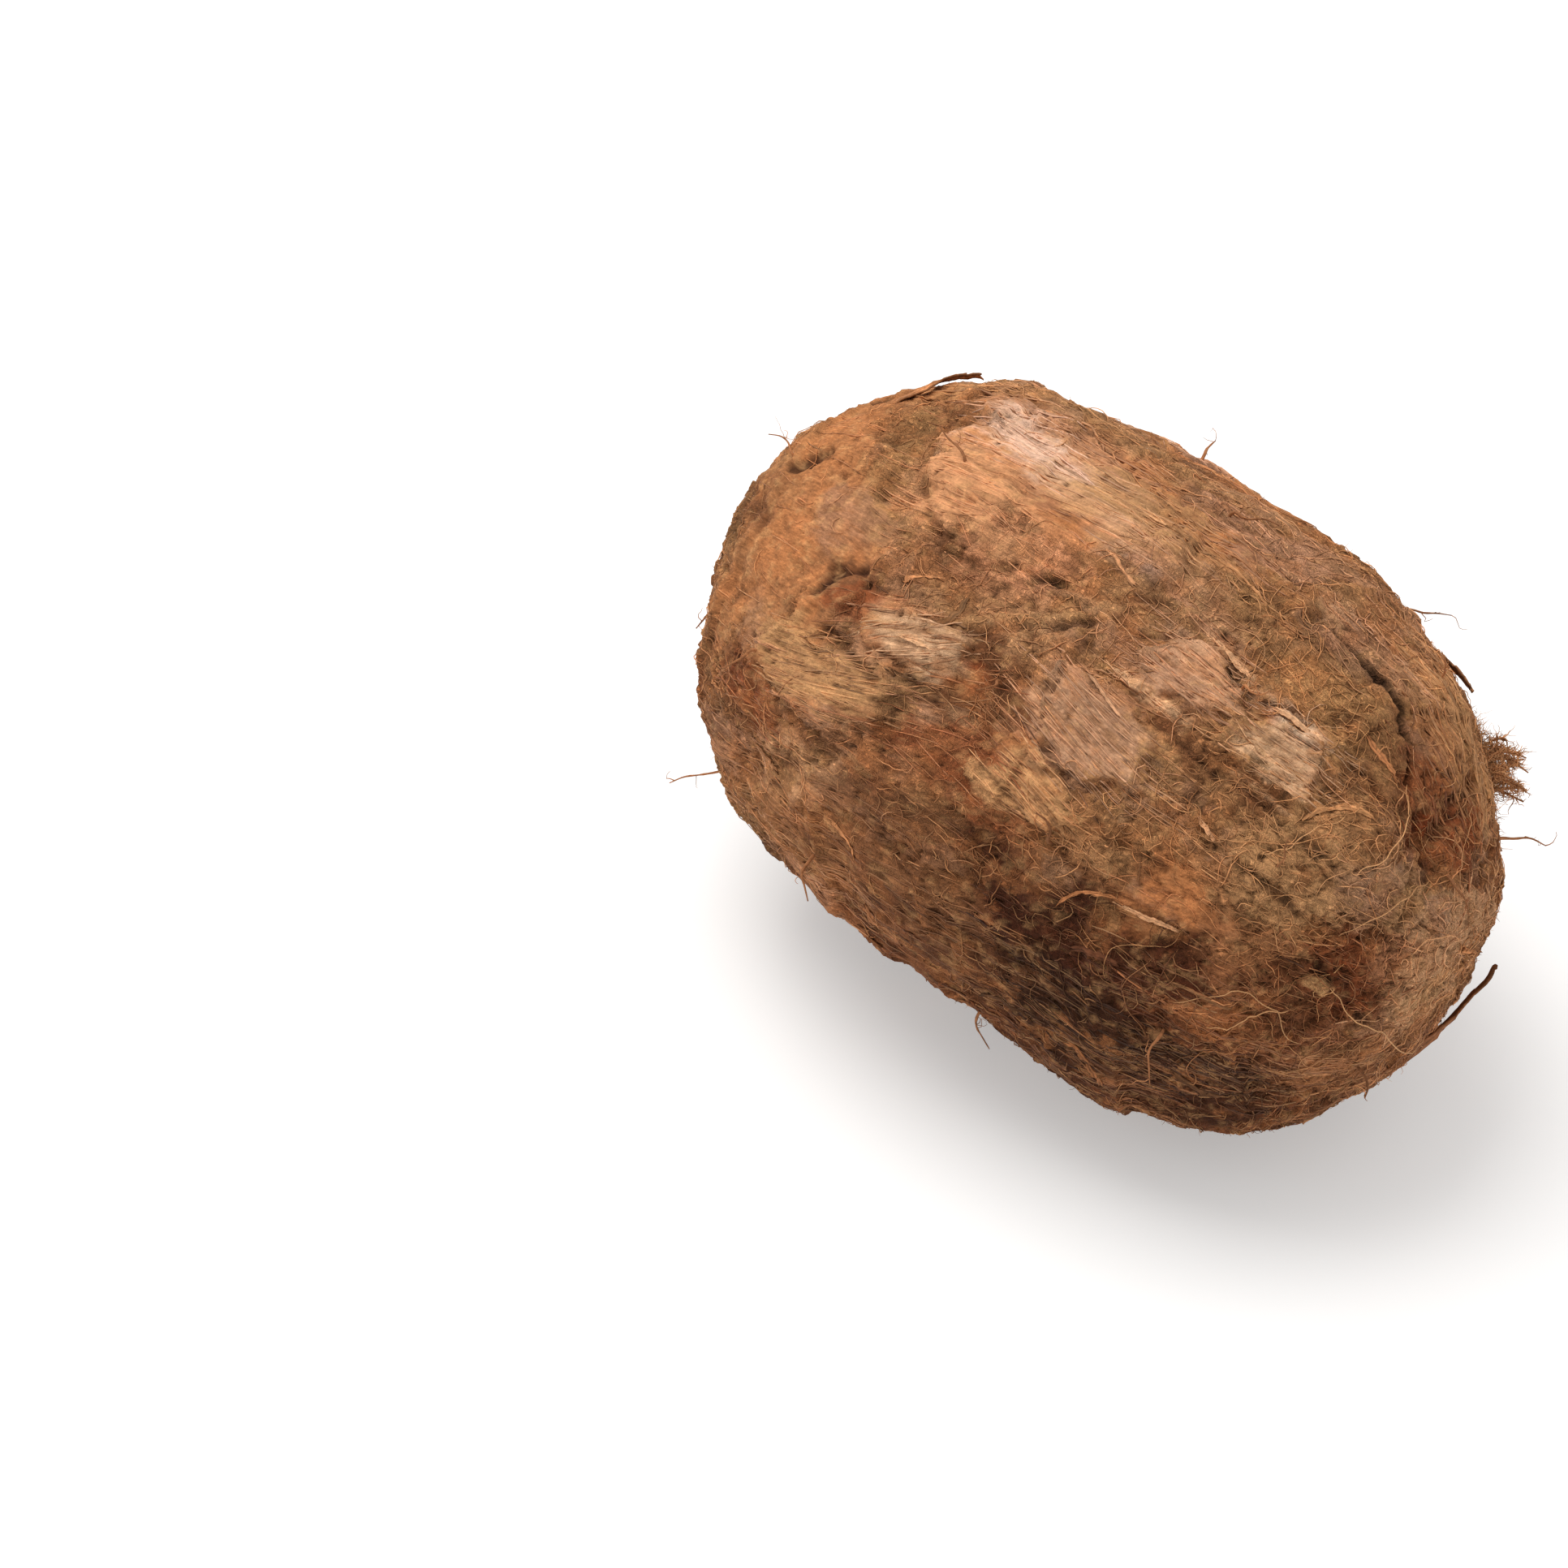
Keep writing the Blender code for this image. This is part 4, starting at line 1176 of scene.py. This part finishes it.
def loose_strips(name, rng, strips, shades, material, thick=0.0004):
    """Strips that are fast at their start and stand off at their end, as (start, end, width, stand-off)."""
    a, b = STRIP_ROWS, STRIP_COLUMNS
    share = np.linspace(0.0, 1.0, a)
    offset = np.linspace(-0.5, 0.5, b)
    tops, normals = [], []
    for start, end, width, stand_off in strips:
        points, out, ways = along_route((start, end), a)
        side = np.cross(out, ways)
        wide = width * (0.30 + 0.70 * np.sin(math.pi * (0.12 + 0.84 * share)))
        ragged = 1.0 + 0.16 * np.stack([uneven_line(rng, a), uneven_line(rng, a)], 1)
        half = np.where(offset[None] < 0, ragged[:, :1], ragged[:, 1:])
        bend = 0.10 * width * uneven_line(rng, a)[:, None]
        lift = stand_off * share**1.3 - 0.0010 * (1.0 - share) ** 2
        grid = points[:, None] + side[:, None] * (wide[:, None] * offset * half + bend)[..., None]
        cup = 0.22 * wide[:, None] * (2.0 * offset) ** 2 * share[:, None]
        ridges = 0.00012 * rng.standard_normal((1, b)) + 0.00006 * rng.standard_normal((a, b))
        grid = grid + out[:, None] * (lift[:, None] + cup + ridges)[..., None]
        fray = np.convolve(rng.uniform(-1.0, 1.0, b + 2), (0.3, 0.4, 0.3), "valid") * 0.0020
        ends = np.clip((share - 0.75) / 0.25, 0.0, 1.0) + np.clip((0.12 - share) / 0.12, 0.0, 1.0)
        grid = grid + ways[:, None] * (fray[None] * ends[:, None])[..., None]
        tops.append(grid)
        normals.append(np.repeat(out[:, None], b, 1))
    thin_sheets(name, rng, np.stack(tops), np.stack(normals), thick, np.array(shades), material)


def shades_at(sk, strips, tone):
    """The skin's colour below the middle of each strip."""
    middles = np.radians([[(a + b) / 2 for a, b in zip(start, end)] for start, end, _, _ in strips])
    return sk.at(middles[:, 0], middles[:, 1], "colour")[0] * tone


def uneven_line(rng, steps):
    """A line of numbers of about -1 to 1 that wanders."""
    rough = np.convolve(rng.standard_normal(steps + 4), np.ones(5) / 5, "valid") * 2.0
    return 0.8 * rough[:steps] + 0.4 * rng.standard_normal(steps)


def loose_threads(name, rng, threads, material):
    """Threads along given lines, as (places, radius, height over the skin, shade)."""
    steps = THREAD_STEPS
    share = np.linspace(0.0, 1.0, steps)
    points, normals, radii, tints = [], [], [], []
    for places, radius, height, shade in threads:
        path, out, ways = along_route(places, steps)
        side = np.cross(out, ways)
        lift = height * np.sin(math.pi * share) ** 0.6 + 0.0003
        waver = 0.0006 * np.sin(share * 9.0 + rng.uniform(0, 6))
        waver = waver + 0.0003 * np.sin(share * 23.0 + rng.uniform(0, 6))
        points.append(path + out * lift[:, None] + side * waver[:, None])
        normals.append(out)
        radii.append(radius * (0.4 + 0.6 * np.sin(math.pi * share) ** 0.4))
        tints.append(np.broadcast_to(shade, (steps, 3)))
    points, radii, normals, tints = (np.stack(rows) for rows in (points, radii, normals, tints))
    tubes(name, points, radii, normals, tints, material, sides=5)


# ---- Materials


def shader_of(name, roughness, specular):
    material = bpy.data.materials.new(name)
    material.use_nodes = True
    tree = material.node_tree
    shader = tree.nodes["Principled BSDF"]
    shader.inputs["Roughness"].default_value = roughness
    shader.inputs["Specular IOR Level"].default_value = specular
    return material, tree, shader


def node(tree, kind, **values):
    made = tree.nodes.new(kind)
    for key, value in values.items():
        if key in made.inputs:
            made.inputs[key].default_value = value
        else:
            setattr(made, key, value)
    return made


def noise_node(tree, vector, scale, detail=4.0, rough=0.6):
    made = node(tree, "ShaderNodeTexNoise", Scale=scale, Detail=detail, Roughness=rough)
    tree.links.new(vector, made.inputs["Vector"])
    return made.outputs["Fac"]


def ranged(tree, value, low, high, to_low, to_high):
    made = node(tree, "ShaderNodeMapRange")
    for key, number in zip(("From Min", "From Max", "To Min", "To Max"), (low, high, to_low, to_high)):
        made.inputs[key].default_value = number
    tree.links.new(value, made.inputs["Value"])
    return made.outputs["Result"]


def maths(tree, operation, *values, kind="ShaderNodeMath"):
    """The result of one operation on sockets and plain numbers."""
    made = node(tree, kind, operation=operation)
    for socket, value in zip(made.inputs, values):
        if isinstance(value, bpy.types.NodeSocket):
            tree.links.new(value, socket)
        else:
            socket.default_value = value
    return made.outputs[0]


def scaled_colour(tree, colour, factor):
    made = node(tree, "ShaderNodeVectorMath", operation="SCALE")
    tree.links.new(colour, made.inputs[0])
    tree.links.new(factor, made.inputs["Scale"])
    return made.outputs[0]


def bumped(tree, shader, height, distance, strength=1.0):
    made = node(tree, "ShaderNodeBump", Strength=strength, Distance=distance)
    tree.links.new(height, made.inputs["Height"])
    tree.links.new(made.outputs["Normal"], shader.inputs["Normal"])


def curly_lines(tree, here, scale, low):
    """Thin curling lines, from the ridges of a warped noise."""
    bend = node(tree, "ShaderNodeTexNoise", Scale=scale * 0.45, Detail=2.0)
    tree.links.new(here, bend.inputs["Vector"])
    reach = (1.6 / scale,) * 3
    bent = maths(tree, "MULTIPLY_ADD", bend.outputs["Color"], reach, here, kind="ShaderNodeVectorMath")
    size = maths(tree, "ABSOLUTE", maths(tree, "SUBTRACT", noise_node(tree, bent, scale, 1.0, 0.5), 0.5))
    return ranged(tree, size, 0.0, low, 1.0, 0.0)


def skin_material():
    material, tree, shader = shader_of("yam_skin", 0.9, 0.12)
    tint = node(tree, "ShaderNodeAttribute", attribute_name="tint").outputs["Color"]
    drawn = node(tree, "ShaderNodeAttribute", attribute_name="grain").outputs["Vector"]
    matted = node(tree, "ShaderNodeAttribute", attribute_name="matted").outputs["Fac"]
    here = node(tree, "ShaderNodeTexCoord").outputs["Object"]
    streak = noise_node(tree, drawn, 1900.0, 4.0)
    crumb = noise_node(tree, here, 1400.0, 4.0, 0.7)
    fine = noise_node(tree, here, 420.0, 5.0, 0.7)
    lines = maths(
        tree, "MAXIMUM", curly_lines(tree, here, 520.0, 0.035), curly_lines(tree, here, 830.0, 0.030)
    )
    curls = maths(tree, "MULTIPLY", lines, matted)
    shade = ranged(tree, streak, 0.3, 0.7, 0.72, 1.28)
    shade = maths(tree, "MULTIPLY", shade, ranged(tree, crumb, 0.3, 0.7, 0.80, 1.20))
    shade = maths(tree, "MULTIPLY", shade, ranged(tree, fine, 0.3, 0.7, 0.82, 1.18))
    shade = maths(tree, "MULTIPLY", shade, ranged(tree, curls, 0.0, 1.0, 0.90, 1.75))
    tree.links.new(scaled_colour(tree, tint, shade), shader.inputs["Base Color"])
    height = maths(tree, "ADD", maths(tree, "ADD", streak, crumb), curls)
    bumped(tree, shader, height, 0.00035)
    return material


def fibre_material(name, roughness, specular):
    material, tree, shader = shader_of(name, roughness, specular)
    tint = node(tree, "ShaderNodeAttribute", attribute_name="tint").outputs["Color"]
    here = node(tree, "ShaderNodeTexCoord").outputs["Object"]
    mottle = noise_node(tree, here, 900.0, 3.0, 0.7)
    shade = ranged(tree, mottle, 0.3, 0.7, 0.72, 1.28)
    tree.links.new(scaled_colour(tree, tint, shade), shader.inputs["Base Color"])
    bumped(tree, shader, mottle, 0.0002, 0.6)
    return material


# ---- Camera, light and floor

VIEW_AZIMUTH = 47
VIEW_ELEVATION = 36
CAMERA_DISTANCE = 1.0
LENS = 106.0
MIDDLE = Vector((-0.0009, -0.0001, 0.06275))
RIGHT_OF_FRAME = 0.067
BELOW_FRAME = 0.009
SKY_STRENGTH = 0.66
KEY_AT = (-0.30, -0.10, 1.1)
KEY_SIZE = 0.8
KEY_POWER = 9.0
KEY_COLOUR = (1.0, 0.98, 0.95)
FLOOR_REACH = 3.0
FLOOR_SHADE = 0.72
FLOOR_GLOW = 0.34


def camera():
    az, el = math.radians(VIEW_AZIMUTH), math.radians(VIEW_ELEVATION)
    back = Vector((math.sin(az) * math.cos(el), -math.cos(az) * math.cos(el), math.sin(el)))
    right = Vector((math.cos(az), math.sin(az), 0.0))
    aim = MIDDLE - right * RIGHT_OF_FRAME - back.cross(right) * BELOW_FRAME
    data = bpy.data.cameras.new("camera")
    data.lens = LENS
    data.sensor_width = 36.0
    data.clip_start = 0.01
    data.clip_end = 20.0
    obj = bpy.data.objects.new("camera", data)
    obj.location = aim + back * CAMERA_DISTANCE
    obj.rotation_euler = back.to_track_quat("Z", "Y").to_euler()
    bpy.context.scene.collection.objects.link(obj)
    bpy.context.scene.camera = obj


def key_light():
    data = bpy.data.lights.new("key", "AREA")
    data.size = KEY_SIZE
    data.energy = KEY_POWER
    data.color = KEY_COLOUR
    obj = bpy.data.objects.new("key", data)
    obj.location = KEY_AT
    obj.rotation_euler = (Vector(KEY_AT) - Vector((0, 0, 0.05))).to_track_quat("Z", "Y").to_euler()
    bpy.context.scene.collection.objects.link(obj)


def studio():
    world = bpy.data.worlds.new("studio")
    world.use_nodes = True
    background = world.node_tree.nodes["Background"]
    background.inputs["Color"].default_value = (1.0, 1.0, 1.0, 1.0)
    background.inputs["Strength"].default_value = SKY_STRENGTH
    bpy.context.scene.world = world
    bpy.context.scene.view_settings.view_transform = "Standard"
    key_light()
    mesh = bpy.data.meshes.new("floor")
    corners = [(FLOOR_REACH * x, FLOOR_REACH * y, 0) for x, y in ((-1, -1), (1, -1), (1, 1), (-1, 1))]
    mesh.from_pydata(corners, [], [(0, 1, 2, 3)])
    floor = bpy.data.objects.new("floor", mesh)
    bpy.context.scene.collection.objects.link(floor)
    material, _, shader = shader_of("floor", 0.9, 0.1)
    shader.inputs["Base Color"].default_value = (FLOOR_SHADE, FLOOR_SHADE, FLOOR_SHADE, 1.0)
    shader.inputs["Emission Color"].default_value = (1.0, 0.99, 0.98, 1.0)
    shader.inputs["Emission Strength"].default_value = FLOOR_GLOW
    mesh.materials.append(material)


# ---- Putting it together

# How many of each, in a piece
CORDS = 2000
STRANDS = 2400
MATTED_FIBRES = 2500
LONG_THREADS = 100
FUZZ_HAIRS = 2000
TUFT_FOOT_HAIRS = 420
HAIRS_PER_TUFT_ROOT = 60
HAIRS_PER_ROOTLET = 3
FLAPS = 80

# Pale slivers of husk that lie on the skin, as (start, end, width, stand-off)
SLIVERS = (
    ((60, 31), (73, 30), 0.0012, 0.0003),
    ((61, 14), (69, 12.5), 0.0015, 0.0004),
    ((44, 15), (54, 17), 0.0017, 0.0003),
    ((51, 74), (60, 72), 0.0010, 0.0004),
    ((47, 50), (51, 47), 0.0010, 0.0003),
    ((95, 44), (101, 46), 0.0012, 0.0003),
    ((64, 262), (76, 260), 0.0013, 0.0004),
    ((100, 296), (109, 297), 0.0016, 0.0004),
)

# Threads that lie over the rest, as (places, radius, height over the skin, shade)
THREADS = (
    (((26, 40), (25, 28), (26, 9), (31, 2)), 0.00013, 0.0010, TAN),
    (((25, 84), (20, 100), (16, 122), (19, 165), (22, 188)), 0.00015, 0.0010, TAN * 0.9),
    (((40, 48), (36, 40), (34, 26)), 0.00011, 0.0008, TAN),
    (((24, 62), (17, 40), (14, 10)), 0.00011, 0.0008, TAN * 0.9),
    (((50, 90), (42, 84), (34, 92), (30, 108)), 0.00012, 0.0008, TAN * 0.8),
    (((46, 98), (40, 95), (32, 92)), 0.00014, 0.0006, TAN),
    (((44, 240), (34, 250), (26, 270)), 0.00015, 0.0010, GOLD * 0.8),
)


def main():
    camera()
    studio()
    arrays = surface()
    sk = Skin(arrays)
    husk_skin = skin_material()
    for number in range(HALVES):
        skin_piece(arrays, number, husk_skin)
    strand = fibre_material("husk_strand", 0.62, 0.35)
    thread = fibre_material("matted_fibre", 0.75, 0.25)
    husk = fibre_material("dry_husk", 0.75, 0.15)
    root = fibre_material("root", 0.8, 0.2)

    def lies_straight(s, psi):
        share, gap, bare = sk.at(s, psi, "straight", "gap", "bare")
        return (0.20 + 0.80 * share) * (1.0 - gap) * (1.0 - 0.5 * bare)

    def is_matted(s, psi):
        share, gap, bare = sk.at(s, psi, "straight", "gap", "bare")
        toward_root = smooth((2.2 - s) / 1.3)
        return (1.0 - 0.75 * share) * (0.25 + 0.75 * toward_root) * (1.0 - gap) * (1.0 - bare)

    def near_root_end(s, psi):
        return is_matted(s, psi) * smooth((1.25 - s) / 0.6)

    def on_husk(s, psi):
        share, gap = sk.at(s, psi, "straight", "gap")
        return smooth((share - 0.5) / 0.4) * (1.0 - gap)

    fibres(
        "husk_cords", np.random.default_rng(90), sk, CORDS, on_husk, strand,
        length=(0.005, 0.016), steps=6, radius=(0.00016, 0.00034), curl=0.02,
        lift=(-0.0001, 0.0001), turned=0.06, tones=(0.78, 1.20), golden=0.04,
    )
    for number in range(2):
        rng = np.random.default_rng(100 + number)
        fibres(
            f"husk_strands_{number}", rng, sk, STRANDS, lies_straight, strand,
            length=(0.005, 0.018), steps=6, radius=(0.00008, 0.00022), curl=0.04,
            lift=(0.0000, 0.0002), turned=0.15, tones=(0.82, 1.32), golden=0.10,
        )
    for number in range(2):
        rng = np.random.default_rng(200 + number)
        fibres(
            f"matted_fibres_{number}", rng, sk, MATTED_FIBRES, is_matted, thread,
            length=(0.003, 0.010), steps=7, radius=(0.00006, 0.00016), curl=0.34,
            lift=(0.0001, 0.0006), turned=1.57, tones=(0.8, 1.6), golden=0.25,
        )
    fibres(
        "long_threads", np.random.default_rng(300), sk, LONG_THREADS, near_root_end, thread,
        length=(0.010, 0.030), steps=22, radius=(0.00008, 0.00016), curl=0.15,
        lift=(0.0003, 0.0010), turned=1.2, tones=(0.85, 1.45), golden=0.5,
    )
    fuzz(
        "fuzz", np.random.default_rng(400), sk, FUZZ_HAIRS, is_matted, thread,
        length=(0.0010, 0.0028), radius=(0.00006, 0.00011),
    )

    def at_tuft(s, psi):
        return bump(direction(s, psi), *TUFT, 4.5)

    fuzz(
        "tuft_foot", np.random.default_rng(420), sk, TUFT_FOOT_HAIRS, at_tuft, thread,
        length=(0.0020, 0.0060), radius=(0.00007, 0.00014),
    )
    rng = np.random.default_rng(450)
    loose_strips("peeling_strips", rng, STRIPS, shades_at(sk, STRIPS, 0.78), husk)
    loose_strips("pale_slivers", rng, SLIVERS, shades_at(sk, SLIVERS, 0.4) + WARM * 0.65, husk, thick=0.0003)
    loose_threads("golden_threads", rng, THREADS, thread)
    strays, tuft = stray_roots(), root_tuft()
    root_piece("rootlets", strays, mixed_shade(UMBER, BROWN, 0.6), 0.75, root)
    root_piece("root_tuft", tuft, BROWN, 0.8, root)
    rng = np.random.default_rng(500)
    hair_on(
        "tuft_hairs", rng, tuft, HAIRS_PER_TUFT_ROOT, mixed_shade(BROWN, TAN, 0.5), thread,
        reach=(1, 10), length=(0.0015, 0.0050), radius=(0.00008, 0.00018),
    )
    hair_on(
        "rootlet_hairs", rng, strays, HAIRS_PER_ROOTLET, BROWN, thread,
        reach=(3, 12), length=(0.002, 0.006), radius=(0.00009, 0.00016),
    )
    rng = np.random.default_rng(600)
    s, psi = spread(rng, FLAPS, lambda s, psi: 0.25 + 0.75 * sk.at(s, psi, "straight")[0])
    base = sk.at(s, psi, "colour")[0]
    tint = toned(rng, base, 0.8, 1.3, 0.1)
    heading = rng.uniform(-0.25, 0.25, FLAPS) + math.pi * (rng.random(FLAPS) < 0.5) + drift(s, psi)
    length, width, lift = (
        rng.uniform(*reach, FLAPS) for reach in ((0.006, 0.016), (0.0006, 0.0018), (0.0, 0.0006))
    )
    flaps("husk_flaps", rng, sk, s, psi, heading, length, width, lift, tint, husk)


main()
